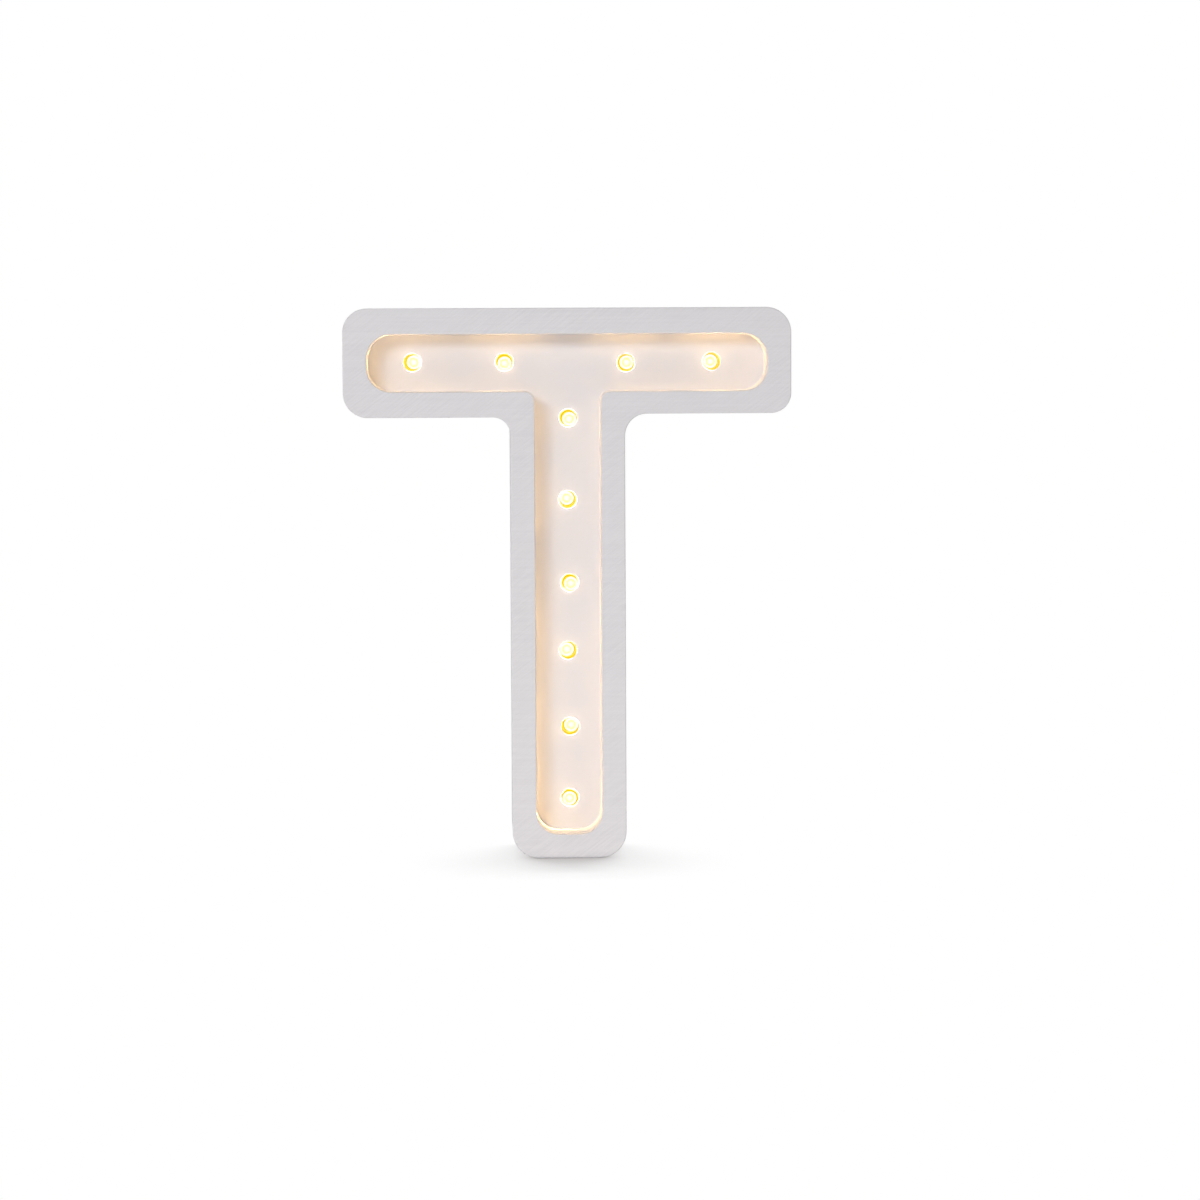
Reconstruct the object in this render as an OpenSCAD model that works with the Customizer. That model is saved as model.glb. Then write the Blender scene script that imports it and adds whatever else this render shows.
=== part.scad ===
// Letter night light: a capital T milled from one thick board and painted, standing on
// the foot of its stem, with ten warm lights let into the floor of a channel that follows
// the letter. Batteries, switch and wiring sit in pockets behind the channel floor, under
// a back panel.
// X runs to the right, Y to the back and Z up. The origin is under the middle of the foot,
// halfway between the front face and the rear rim. Sizes are in millimetres.

/* [Letter] */
// Height of the letter
letter_h = 200; // [199:0.1:203]
// Width across the bar
bar_w = 162; // [160:0.5:166]
// Depth from the front face to the rear rim
letter_d = 40; // [40:0.1:42]
// Height of the left arm
arm_left_h = 39.4; // [39.4:0.1:41]
// Height of the right arm
arm_right_h = 38.3; // [38.3:0.1:41]
// Width of the stem
stem_w = 41.5; // [41.5:0.1:44]
// Radius of the top left corner
top_left_r = 8.7; // [7:0.1:10]
// Radius of the top right corner
top_right_r = 9.2; // [7:0.1:10]
// Radius under the end of the left arm
end_left_r = 9; // [7:0.1:10]
// Radius under the end of the right arm
end_right_r = 7.4; // [7:0.1:10]
// Radius of the two corners of the foot
foot_r = 9.8; // [8:0.1:10]
// Radius of the inside corner under the left arm
pit_left_r = 6.3; // [5:0.1:9]
// Radius of the inside corner under the right arm
pit_right_r = 8; // [5:0.1:9]

/* [Front channel] */
// Depth of the channel
channel_d = 15; // [14.5:0.1:15]
// Length of the channel along the bar
channel_bar_w = 144.9; // [143:0.1:147]
// Height of the channel along the bar
channel_bar_h = 20.8; // [20:0.1:22]
// Width of the channel down the stem
channel_stem_w = 24.1; // [22:0.1:25]
// Wood left above the channel
channel_top_wood = 9.4; // [9:0.1:10]
// Wood left below the channel
channel_foot_wood = 8.8; // [8:0.1:10]
// Radius of the channel's ends along the bar
channel_end_r = 9; // [7:0.1:10]
// Radius of the channel's foot
channel_foot_r = 8.2; // [7:0.1:10]
// Radius of the corners where bar and stem channels meet
channel_pit_r = 3.7; // [2:0.1:5]

/* [Lights] */
// Radius of a light's lens
lens_r = 2.5; // [2.3:0.05:2.5]
// Length of a light from flange to tip
lens_l = 5.4; // [5:0.1:5.5]
// Radius of the holes that the lights sit in
light_hole_r = 3.15; // [3.1:0.05:3.3]
// How far a tip sits below the channel floor
tip_below_floor = 0.4; // [0.2:0.1:0.6]

/* [Back] */
// Thickness of the wood behind the channel
floor_t = 7.5; // [7.5:0.1:8]
// Thickness of the back panel
panel_t = 3; // [3:0.1:3.2]
// How far the panel lies inside the rear rim
panel_recess = 1.8; // [1.8:0.1:2]
// Width of the wooden rim round the panel
rim_w = 3; // [2.5:0.1:3]
// Radius of the head hole of the hanging keyhole
keyhole_r = 4; // [3.5:0.1:4.5]
// Radius of the narrow end of the keyhole
keyhole_slot_r = 2.1; // [1.8:0.1:2.3]

/* [Battery box] */
// Radius of a cell
cell_r = 5.2; // [5:0.05:5.25]
// Length of a cell with its nub
cell_l = 44.5; // [44:0.1:44.6]
// Wall of the box
box_wall = 1.6; // [1.5:0.1:1.6]
// Thickness of the door
door_t = 1.6; // [1.5:0.1:1.7]
// Radius of the door's pivot stubs
stub_r = 0.7; // [0.6:0.05:0.7]
// Radial clearance of the stubs in their holes
stub_clearance = 0.06; // [0.03:0.01:0.1]

/* [Switch] */
// Travel of the switch knob
knob_travel = 4; // [3:0.1:4]
// Width of the knob
knob_w = 4.2; // [3.8:0.1:4.4]
// Height of the knob
knob_h = 3.6; // [3:0.1:3.8]

/* [Hidden] */
$fn = 64;

// Each light's name, and its place on the board as X and Z
light_names = [for (i = [1 : 10]) str("led_", i < 10 ? "0" : "", i)];
bar_light_z = 180.4;
lights = [
    [-56.2, bar_light_z], [-22.6, bar_light_z], [21.7, bar_light_z - 0.4], [53, bar_light_z],
    [0.5, 160], [0.2, 130.2], [0.8, 99.7], [0.1, 74.8], [0.7, 46.8], [0.5, 20.4]
];
bar_light_count = 4;
// How far each light's tip leans off the middle of its hole, as X and Z
light_leans = [
    [0.58, 0.1], [0.05, -0.5], [0.25, 0.15], [-0.45, 0],
    [0.42, -0.42], [-0.36, 0.46], [0.44, -0.4], [-0.45, 0.3], [0.36, 0.46], [-0.15, -0.35]
];
// Share of that lean at the light's back: the rest is tilt
back_lean = 0.3;

// Depths, from the front face to the rear rim
front_y = -letter_d / 2;
rim_y = letter_d / 2;
floor_y = front_y + channel_d;
pocket_y = floor_y + floor_t;
panel_y = rim_y - panel_recess;
seat_y = panel_y - panel_t;
cut = 1;

// Heights and half widths of the letter
half_bar = bar_w / 2;
half_stem = stem_w / 2;
under_left = letter_h - arm_left_h;
under_right = letter_h - arm_right_h;
panel_gap = 0.2;

// Rear pockets: behind the bar lights, behind the stem lights, and for the battery box
bar_pocket = [64, 14];
stem_pocket_half = 11;
pocket_r = 2.8;
fit_gap = 0.3;

// Lights: flange, tip and back end
flange_r = 2.75;
flange_t = 1;
tip_cone_r = 1.8;
tip_cone_d = 1.5;
tip_edge = 0.35;
light_back_y = floor_y + tip_below_floor + lens_l;
glue_r = light_hole_r - 0.05;
glue_gap = 0.25;
lead_root_l = 0.3;

// Wiring: two bus wires run on the pocket floor, one each side of the lights
wire_r = 0.6;
bead_r = 0.68;
wire_y = pocket_y + wire_r + 0.05;
bus_side = 3.9;
bus_ends_x = [-59.5, 55.5];
bus_low_z = 17;
bridge_over_y = wire_y + 2.1;
lead_w = 0.5;
lead_pitch = 2.54;
lead_reach = bus_side - wire_r + 0.3;
box_front_y = pocket_y + 1.9;
feed_y = box_front_y + 2.2;
feed_z = 136;
resistor_r = 1.2;
resistor_l = 6.3;
resistor_z = 118;

// Battery box: screw end, partition, then the bay for two cells side by side
box_half = 13;
box_floor_t = 1.2;
box_r = 2.5;
box_low_z = 13;
screw_bay_l = 6;
partition_t = 1.2;
bay_l = 50.2;
bay_half = box_half - box_wall;
bay_y = box_front_y + box_floor_t;
bay_low_z = box_low_z + box_wall + screw_bay_l + partition_t;
bay_top_z = bay_low_z + bay_l;
box_top_z = bay_top_z + box_wall;
cell_x = 5.45;
cell_y = bay_y + cell_r + 0.2;
nub_r = 1.9;
nub_l = 0.9;
box_foot_r = 2.6;
box_screws_z = [34, 60];
box_screw_l = 7.2;
box_screw_tip_l = 1.2;
box_head_r = 1.85;
box_head_flat_r = 1.4;
box_head_t = 1.2;

// Contacts: plates in grooves at both ends of the bay, a spring at each cell's flat end
plate_t = 0.4;
plate_gap = 0.03;
plate_low_y = bay_y + 1.4;
plate_high_y = bay_y + 9.4;
plate_edge_x = bay_half + 0.4;
end_plate_x = 1.2;
groove_x = bay_half + 0.5;
low_plate_z = bay_low_z + plate_gap;
high_plate_z = bay_top_z - plate_gap - plate_t;
low_face_z = low_plate_z + plate_t;
spring_l = high_plate_z - low_face_z - cell_l - 2 * plate_gap;
spring_wire_r = 0.35;
spring_turns = 2.5;
spring_coil_r = [3.4, 2.5];
spring_rings = 8;
spring_sides = 6;
tab_half = 1;
tab_gap = 0.1;
tab_top_z = box_top_z + 2;
tab_wire_z = tab_top_z - 0.8;

// Battery door: swings on two stubs at its upper end, held by a screw at its lower end
door_gap = 0.3;
door_half = bay_half - door_gap;
door_y = panel_y - door_t;
door_low_z = box_low_z + box_wall + door_gap;
door_round_r = door_t / 2;
hinge_y = panel_y - door_round_r;
hinge_z = bay_top_z - door_round_r - 0.4;
stub_l = 1.3;
stub_hole_l = stub_l + 0.2;
boss_r = 2.8;
boss_top_y = door_y - 0.4;
insert_r = 2;
insert_bore_r = 1.4;
insert_l = 3.3;
door_screw_z = box_low_z + box_wall + screw_bay_l / 2;
door_screw_r = 1;
door_screw_tip_y = boss_top_y - 2.8;
door_head_r = 1.9;
door_head_t = 0.7;
door_head_gap = 0.25;
door_seat_gap = 0.05;
door_recess_d = 0.5;

// Switch: steel frame behind the panel, base and terminals inside, knob through the panel
switch_z = 104;
frame_half = [6.4, 3.3];
frame_d = 5.4;
frame_t = 0.4;
ear_half = 10.4;
switch_screw_x = 8.3;
switch_screw_r = 1;
switch_screw_l = 6;
knob_rest_x = -knob_travel / 2;
knob_gap = 0.4;
slot_half = [knob_travel / 2 + knob_w / 2 + knob_gap, knob_h / 2 + knob_gap];
sheet_gap = 0.05;
frame_y = seat_y - sheet_gap;
frame_back_y = frame_y - frame_d;
base_t = 1.3;
carriage_side = 1.1;
carriage_gap = 0.35;
carriage_rise = 0.5;
knob_tip_y = rim_y - 0.2;
grip_r = 0.3;
grip_pitch = 1.1;
terminal_x = [-3.2, 0, 3.2];
terminal_half = [0.4, 0.75];
terminal_gap = 0.02;
terminal_low_y = feed_y - 0.4;
terminal_proud = 0.2;

// Panel screws: four in the bar, two in the stem, two above the foot
panel_screw_r = 1.1;
panel_screw_l = 10.5;
screw_head_r = 2.1;
screw_head_t = 1.2;
screw_hole_gap = 0.05;
pilot_r = panel_screw_r + 0.02;
panel_screws_at = [
    [-71, 190], [71, 190], [-71, 171], [71, 171],
    [-14.2, 86], [14.2, 86], [-9, 7.8], [9, 7.8]
];
keyhole_z = 174.5;
keyhole_end_z = 181;

// A flat shape drawn in X and Z, made solid from depth y0 to depth y1
module slab(y0, y1) {
    translate([0, y1, 0]) rotate([90, 0, 0]) linear_extrude(y1 - y0) children();
}

// A round rod along Y at (x, z)
module rod(x, z, y0, y1, r) {
    translate([x, y1, z]) rotate([90, 0, 0]) cylinder(h = y1 - y0, r = r);
}

// A box given by its low and high corners
module block(low, high) {
    translate(low) cube(high - low);
}

// What lies between a square corner at (x, z) and the arc of radius r inside it.
// The corner opens towards (side_x, side_z), each 1 or -1.
module corner_web(x, z, side_x, side_z, r) {
    difference() {
        translate([side_x > 0 ? x - cut : x - r, side_z > 0 ? z - cut : z - r])
            square(r + cut);
        translate([x + side_x * r, z + side_z * r]) circle(r);
    }
}

// A rectangle with four like round corners
module round_box(low, high, r) {
    difference() {
        translate(low) square(high - low);
        corner_web(low[0], low[1], 1, 1, r);
        corner_web(high[0], low[1], -1, 1, r);
        corner_web(low[0], high[1], 1, -1, r);
        corner_web(high[0], high[1], -1, -1, r);
    }
}

// The letter's outline, drawn in by the given distance all round
module letter_outline(inset) {
    half = half_bar - inset;
    stem = half_stem - inset;
    top = letter_h - inset;
    low_left = under_left + inset;
    low_right = under_right + inset;
    difference() {
        union() {
            translate([-half, low_left]) square([half + cut, arm_left_h - 2 * inset]);
            translate([-cut, low_right]) square([half + cut, arm_right_h - 2 * inset]);
            translate([-stem, inset]) square([2 * stem, top - inset - cut]);
            corner_web(-stem, low_left, -1, -1, pit_left_r + inset);
            corner_web(stem, low_right, 1, -1, pit_right_r + inset);
        }
        corner_web(-half, top, 1, -1, top_left_r - inset);
        corner_web(half, top, -1, -1, top_right_r - inset);
        corner_web(-half, low_left, 1, 1, end_left_r - inset);
        corner_web(half, low_right, -1, 1, end_right_r - inset);
        corner_web(-stem, inset, 1, 1, foot_r - inset);
        corner_web(stem, inset, -1, 1, foot_r - inset);
    }
}

// The channel's outline: a bar with round ends and a stem with a rounded foot
module channel_outline() {
    half = channel_bar_w / 2;
    stem = channel_stem_w / 2;
    top = letter_h - channel_top_wood;
    low = top - channel_bar_h;
    difference() {
        union() {
            round_box([-half, low], [half, top], channel_end_r);
            translate([-stem, channel_foot_wood])
                square([2 * stem, low - channel_foot_wood + cut]);
            corner_web(-stem, low, -1, -1, channel_pit_r);
            corner_web(stem, low, 1, -1, channel_pit_r);
        }
        corner_web(-stem, channel_foot_wood, 1, 1, channel_foot_r);
        corner_web(stem, channel_foot_wood, -1, 1, channel_foot_r);
    }
}

// The rear pockets' outline
module pocket_outline() {
    bar_half_h = bar_pocket[1] / 2;
    round_box([-bar_pocket[0], bar_light_z - bar_half_h],
        [bar_pocket[0], bar_light_z + bar_half_h], pocket_r);
    translate([-stem_pocket_half, box_top_z - cut])
        square([2 * stem_pocket_half, bar_light_z - box_top_z]);
    box_pocket_outline();
}

// The battery box's outline with room round it, for its pocket and the panel's window
module box_pocket_outline() {
    round_box([-box_half - fit_gap, box_low_z - fit_gap],
        [box_half + fit_gap, box_top_z + fit_gap], box_r + fit_gap);
}

// A countersunk screw along Y with a crossed recess, its head flush at depth y
module countersunk_screw(x, z, y, r, l, head_r, head_t) {
    difference() {
        translate([x, y, z]) rotate([90, 0, 0]) rotate_extrude()
            polygon([[0, 0], [head_r, 0], [r, head_t], [r, l - r], [0, l]]);
        cross_recess(x, z, y, head_r, head_t * 0.7);
    }
}

// A crossed driver recess cut into a head whose face is at depth y
module cross_recess(x, z, y, head_r, depth) {
    arm = head_r * 0.62;
    half_w = head_r * 0.14;
    block([x - arm, y - depth, z - half_w], [x + arm, y + cut, z + half_w]);
    block([x - half_w, y - depth, z - arm], [x + half_w, y + cut, z + arm]);
}

// The hole for a countersunk screw through a sheet whose outer face is at depth y
module countersunk_hole(x, z, y, t, r, head_r, head_t) {
    gap = screw_hole_gap;
    translate([x, y, z]) rotate([90, 0, 0]) rotate_extrude()
        polygon([[0, -cut], [head_r + gap, -cut], [head_r + gap, 0], [r + gap, head_t],
            [r + gap, t + cut], [0, t + cut]]);
}

// The board: outline, front channel, rear rabbet and pockets, light holes, screw pilots
module letter_body() {
    color("whitesmoke") difference() {
        slab(front_y, rim_y) letter_outline(0);
        slab(front_y - cut, floor_y) channel_outline();
        slab(seat_y, rim_y + cut) letter_outline(rim_w);
        slab(pocket_y, seat_y + cut) pocket_outline();
        for (at = lights) rod(at[0], at[1], floor_y - cut, pocket_y + cut, light_hole_r);
        for (at = panel_screws_at)
            rod(at[0], at[1], panel_y - panel_screw_l, seat_y + cut, pilot_r);
        for (z = box_screws_z) rod(0, z, bay_y + box_head_t - box_screw_l, pocket_y + cut, pilot_r);
    }
}

// One light: a round lens with a hollow cone in its tip and a flange at its back, tilted
// a little in its hole
module light(i) {
    at = lights[i] + back_lean * light_leans[i];
    slope = (1 - back_lean) * light_leans[i] / lens_l;
    color("lightyellow") translate([at[0], light_back_y, at[1]])
        rotate([-atan(slope[1]), 0, atan(slope[0])]) rotate([90, 0, 0])
        rotate_extrude() polygon([
            [0, 0], [flange_r, 0], [flange_r, flange_t], [lens_r, flange_t],
            [lens_r, lens_l - tip_edge], [lens_r - tip_edge, lens_l], [tip_cone_r, lens_l],
            [0, lens_l - tip_cone_d]]);
}

// A dab of glue behind each light
module led_glue() {
    color("gainsboro") for (at = lights)
        rod(at[0], at[1], light_back_y + glue_gap, pocket_y - 0.05, glue_r);
}

// Two bent leads, moulded into the back of each light and reaching sideways to the bus wires
module led_leads() {
    color("silver") for (i = [0 : len(lights) - 1]) {
        on_bar = i < bar_light_count;
        off_line = on_bar ? bar_light_z - lights[i][1] : lights[i][0];
        translate([lights[i][0], 0, lights[i][1]]) rotate([0, on_bar ? 90 : 0, 0]) {
            lead(lead_reach - off_line);
            rotate([0, 180, 0]) lead(lead_reach + off_line);
        }
    }
}

// One lead, bent out along +X and ending at the given reach from the light
module lead(reach) {
    in_x = lead_pitch / 2 - lead_w / 2;
    half = lead_w / 2;
    block([in_x, light_back_y - lead_root_l, -half], [in_x + lead_w, wire_y + half, half]);
    block([in_x, wire_y - half, -half], [reach, wire_y + half, half]);
}

// A wire along straight runs through the given points, with a bead at each bend and end
module wire(points) {
    for (i = [0 : len(points) - 2]) wire_run(points[i], points[i + 1]);
    for (p = points) translate(p) sphere(bead_r);
}

// One straight run of wire from a to b
module wire_run(a, b) {
    run = b - a;
    flat = norm([run[0], run[1]]);
    translate(a) rotate([0, atan2(flat, run[2]), atan2(run[1], run[0])])
        cylinder(h = norm(run), r = wire_r);
}

// Positive bus: along the top of the bar lights, over the other bus and down the stem
module wire_red() {
    bus_z = bar_light_z + bus_side;
    hop_z = bar_light_z - 9;
    color("firebrick") {
        wire([[bus_ends_x[0], wire_y, bus_z], [bus_ends_x[1], wire_y, bus_z]]);
        wire([[-bus_side, wire_y, bus_z], [-bus_side, bridge_over_y, bus_z],
            [-bus_side, bridge_over_y, hop_z], [-bus_side, wire_y, hop_z],
            [-bus_side, wire_y, bus_low_z]]);
        wire([[-bus_side, wire_y, feed_z], [-bus_side, feed_y, feed_z], [0, feed_y, feed_z],
            [0, feed_y, feed_z - 5]]);
    }
}

// Negative bus: along the foot of the bar lights and down the stem, with a tail to the box
module wire_black() {
    bus_z = bar_light_z - bus_side;
    tail_z = tab_top_z + 4;
    color("dimgray") {
        wire([[bus_ends_x[0], wire_y, bus_z], [bus_ends_x[1], wire_y, bus_z]]);
        wire([[bus_side, wire_y, bus_z], [bus_side, wire_y, bus_low_z]]);
        wire([[bus_side, wire_y, tail_z], [bus_side, feed_y, tail_z], [cell_x, feed_y, tail_z],
            [cell_x, feed_y, tab_wire_z]]);
    }
}

// Wire from the positive tab of the box to the switch
module wire_switch() {
    color("firebrick") wire([[-cell_x, feed_y, tab_wire_z], [-cell_x, feed_y, switch_z],
        [terminal_x[0] - terminal_half[0], feed_y, switch_z]]);
}

// Series resistor on its two leads, between the switch and the positive bus
module resistor() {
    lead_end_z = feed_z - 4;
    color("tan") translate([0, feed_y, 0]) {
        translate([0, 0, resistor_z - resistor_l / 2]) cylinder(h = resistor_l, r = resistor_r);
        translate([0, 0, switch_z]) cylinder(h = lead_end_z - switch_z, r = lead_w / 2);
    }
}

// Moulded battery box: floor, walls, partition, screw boss, and two feet under it
module battery_box() {
    color("white") difference() {
        union() {
            slab(box_front_y, panel_y)
                round_box([-box_half, box_low_z], [box_half, box_top_z], box_r);
            for (z = box_screws_z) rod(0, z, pocket_y, box_front_y + 0.1, box_foot_r);
        }
        difference() {
            block([-bay_half, bay_y, box_low_z + box_wall],
                [bay_half, panel_y + cut, bay_low_z - partition_t]);
            rod(0, door_screw_z, bay_y - cut, boss_top_y, boss_r);
        }
        block([-bay_half, bay_y, bay_low_z], [bay_half, panel_y + cut, bay_top_z]);
        block([-bay_half, boss_top_y, box_low_z + box_wall],
            [bay_half, panel_y + cut, bay_top_z]);
        rod(0, door_screw_z, boss_top_y - insert_l, boss_top_y + cut, insert_r + plate_gap);
        rod(0, door_screw_z, bay_y + cut, boss_top_y, insert_bore_r);
        translate([-door_half - stub_hole_l, hinge_y, hinge_z]) rotate([0, 90, 0])
            cylinder(h = 2 * (door_half + stub_hole_l), r = stub_r + stub_clearance);
        for (z = box_screws_z) rod(0, z, pocket_y - cut, bay_y + cut, pilot_r);
        for (z = [low_plate_z, high_plate_z]) block(
            [-groove_x, plate_low_y - plate_gap, z - plate_gap],
            [groove_x, boss_top_y + plate_gap, z + plate_t + plate_gap]);
        for (side = [-1, 1]) block(
            [side * cell_x - tab_half - tab_gap, plate_low_y - tab_gap, bay_top_z - cut],
            [side * cell_x + tab_half + tab_gap, plate_low_y + plate_t + tab_gap, box_top_z + cut]);
    }
}

// Two round-headed screws that hold the box to the board
module battery_box_screws() {
    head_y = bay_y + box_head_t;
    under = box_head_t - plate_gap;
    color("silver") for (z = box_screws_z) difference() {
        translate([0, head_y, z]) rotate([90, 0, 0]) rotate_extrude()
            polygon([[0, 0], [box_head_flat_r, 0], [box_head_r, box_head_t / 2],
                [box_head_r, under], [panel_screw_r, under],
                [panel_screw_r, box_screw_l - box_screw_tip_l], [0, box_screw_l]]);
        cross_recess(0, z, head_y, box_head_flat_r, box_head_t / 2);
    }
}

// A thin contact plate across the bay, from x0 to x1
module contact_plate(x0, x1, z) {
    block([x0, plate_low_y, z], [x1, plate_high_y, z + plate_t]);
}

// Plate at the low end that joins the two cells
module bridge_plate() {
    color("silver") contact_plate(-plate_edge_x, plate_edge_x, low_plate_z);
}

// Plate at the high end of the right bay, with a tab through the wall for its wire
module end_plate() {
    contact_plate(end_plate_x, plate_edge_x, high_plate_z);
    block([cell_x - tab_half, plate_low_y, high_plate_z],
        [cell_x + tab_half, plate_low_y + plate_t, tab_top_z]);
}

// Positive plate, over the left cell
module plus_plate() {
    color("silver") mirror([1, 0, 0]) end_plate();
}

// Negative plate, over the right cell
module minus_plate() {
    color("silver") end_plate();
}

// Centre line of a contact spring: a straight end, a tapering coil, a straight end
spring_end_l = 2 * spring_wire_r;
spring_coil_l = spring_l - 2 * spring_end_l;
spring_steps = spring_turns * spring_rings;
function spring_turn(i) = 360 * spring_turns * i / spring_steps;
function spring_radius(i) =
    spring_coil_r[0] + (spring_coil_r[1] - spring_coil_r[0]) * i / spring_steps;
function spring_point(i) = [
    spring_radius(i) * cos(spring_turn(i)), spring_radius(i) * sin(spring_turn(i)),
    spring_end_l + spring_coil_l * i / spring_steps];
spring_coil = [for (i = [0 : spring_steps]) spring_point(i)];
spring_path = concat(
    [[spring_coil[0][0], spring_coil[0][1], 0]], spring_coil,
    [[spring_coil[spring_steps][0], spring_coil[spring_steps][1], spring_l]]);
spring_last = len(spring_path) - 1;
// Least gap of the coil to itself, between points at least half a turn apart
spring_gap = min([for (i = [0 : spring_last]) for (j = [i + spring_rings / 2 : 1 : spring_last])
    norm(spring_path[i] - spring_path[j])]) - 2 * spring_wire_r;
echo(spring_gap_mm = spring_gap);

function unit(v) = v / norm(v);
// Direction of the spring's line at point i
function spring_along(i) = i == 0 || i == spring_last ? [0, 0, 1]
    : unit(unit(spring_path[i + 1] - spring_path[i]) + unit(spring_path[i] - spring_path[i - 1]));
// One ring of the wire round point i, its first side facing away from the coil's middle
function spring_ring(i) =
    let (p = spring_path[i], along = spring_along(i),
        out = unit([p[0], p[1], 0] - along * ([p[0], p[1], 0] * along)),
        side = cross(along, out))
    [for (k = [0 : spring_sides - 1]) p + spring_wire_r
        * (out * cos(360 * k / spring_sides) + side * sin(360 * k / spring_sides))];

// The spring as one unbroken tube, wide end at Z 0
module contact_spring() {
    rings = [for (i = [0 : spring_last]) each spring_ring(i)];
    n = spring_sides;
    walls = [for (i = [0 : spring_last - 1]) for (k = [0 : n - 1])
        let (a = i * n + k, b = i * n + (k + 1) % n) each [[a, a + n, b], [b, a + n, b + n]]];
    low_end = [for (k = [1 : n - 2]) [0, k, k + 1]];
    top = spring_last * n;
    high_end = [for (k = [1 : n - 2]) [top, top + k + 1, top + k]];
    polyhedron(rings, concat(walls, low_end, high_end));
}

// Spring on the bridge plate, under the left cell
module bridge_spring() {
    color("silver") translate([-cell_x, cell_y, low_face_z]) contact_spring();
}

// Spring under the negative plate, on top of the right cell
module minus_spring() {
    color("silver") translate([cell_x, cell_y, high_plate_z]) rotate([180, 0, 0])
        contact_spring();
}

// One cell standing on its flat end at height z, nub up
module cell() {
    cylinder(h = cell_l - nub_l, r = cell_r);
    translate([0, 0, cell_l - nub_l - cut]) cylinder(h = nub_l + cut, r = nub_r);
}

// Left cell, nub up against the positive plate
module battery_left() {
    color("darkorange") translate([-cell_x, cell_y, high_plate_z - cell_l - plate_gap]) cell();
}

// Right cell, nub down against the bridge plate
module battery_right() {
    color("darkorange") translate([cell_x, cell_y, low_face_z + cell_l + plate_gap])
        rotate([180, 0, 0]) cell();
}

// Brass insert that takes the door's screw
module door_insert() {
    color("goldenrod") difference() {
        rod(0, door_screw_z, boss_top_y - insert_l, boss_top_y, insert_r);
        rod(0, door_screw_z, boss_top_y - insert_l - cut, boss_top_y + cut, insert_bore_r);
    }
}

// Back panel with its window, switch slot, keyhole and screw holes
module back_panel() {
    color("white") difference() {
        slab(seat_y, panel_y) letter_outline(rim_w + panel_gap);
        slab(seat_y - cut, panel_y + cut) box_pocket_outline();
        block([-slot_half[0], seat_y - cut, switch_z - slot_half[1]],
            [slot_half[0], panel_y + cut, switch_z + slot_half[1]]);
        rod(0, keyhole_z, seat_y - cut, panel_y + cut, keyhole_r);
        block([-keyhole_slot_r, seat_y - cut, keyhole_z],
            [keyhole_slot_r, panel_y + cut, keyhole_end_z]);
        rod(0, keyhole_end_z, seat_y - cut, panel_y + cut, keyhole_slot_r);
        for (at = panel_screws_at) countersunk_hole(at[0], at[1], panel_y, panel_t,
            panel_screw_r, screw_head_r, screw_head_t);
        for (side = [-1, 1]) countersunk_hole(side * switch_screw_x, switch_z, panel_y, panel_t,
            switch_screw_r, screw_head_r, screw_head_t);
    }
}

// Eight countersunk wood screws that hold the panel
module panel_screws() {
    color("silver") for (at = panel_screws_at)
        countersunk_screw(at[0], at[1], panel_y, panel_screw_r, panel_screw_l, screw_head_r,
            screw_head_t);
}

// Folded steel frame of the switch, with two ears behind the panel
module switch_frame() {
    color("lightgray") difference() {
        union() {
            block([-frame_half[0], frame_back_y, switch_z - frame_half[1]],
                [frame_half[0], frame_y, switch_z + frame_half[1]]);
            block([-ear_half, frame_y - frame_t, switch_z - frame_half[1]],
                [ear_half, frame_y, switch_z + frame_half[1]]);
        }
        block([-frame_half[0] + frame_t, frame_back_y - cut, switch_z - frame_half[1] + frame_t],
            [frame_half[0] - frame_t, frame_y - frame_t, switch_z + frame_half[1] - frame_t]);
        block([-slot_half[0], frame_back_y, switch_z - slot_half[1]],
            [slot_half[0], frame_y + cut, switch_z + slot_half[1]]);
        for (side = [-1, 1]) rod(side * switch_screw_x, switch_z, frame_back_y, frame_y + cut,
            switch_screw_r + 0.02);
    }
}

// Insulating base that closes the frame
module switch_base() {
    half_x = frame_half[0] - frame_t - sheet_gap;
    half_z = frame_half[1] - frame_t - sheet_gap;
    color("saddlebrown") difference() {
        block([-half_x, frame_back_y, switch_z - half_z],
            [half_x, frame_back_y + base_t, switch_z + half_z]);
        for (x = terminal_x)
            terminal(x, frame_back_y - cut, frame_back_y + base_t + cut, terminal_gap);
    }
}

// A flat terminal at x from depth y0 to depth y1, larger all round by gap
module terminal(x, y0, y1, gap) {
    half = terminal_half + [gap, gap];
    block([x - half[0], y0, switch_z - half[1]], [x + half[0], y1, switch_z + half[1]]);
}

// Three flat terminals through the base
module switch_terminals() {
    color("silver") for (x = terminal_x)
        terminal(x, terminal_low_y, frame_back_y + base_t + terminal_proud, 0);
}

// Two countersunk screws through the panel into the frame's ears
module switch_screws() {
    color("silver") for (side = [-1, 1]) countersunk_screw(side * switch_screw_x, switch_z,
        panel_y, switch_screw_r, switch_screw_l, screw_head_r, screw_head_t);
}

// Knob with its carriage inside the frame, and three grip grooves across its tip
module switch_knob() {
    half_x = knob_w / 2 + carriage_side;
    half_z = frame_half[1] - frame_t - carriage_gap;
    low_y = frame_back_y + base_t + carriage_rise;
    high_y = frame_y - frame_t - carriage_gap;
    color("dimgray") translate([knob_rest_x, 0, switch_z]) difference() {
        union() {
            block([-half_x, low_y, -half_z], [half_x, high_y, half_z]);
            block([-knob_w / 2, low_y, -knob_h / 2], [knob_w / 2, knob_tip_y, knob_h / 2]);
        }
        for (i = [-1 : 1]) translate([i * grip_pitch, knob_tip_y, -knob_h])
            cylinder(h = 2 * knob_h, r = grip_r);
    }
}

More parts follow.
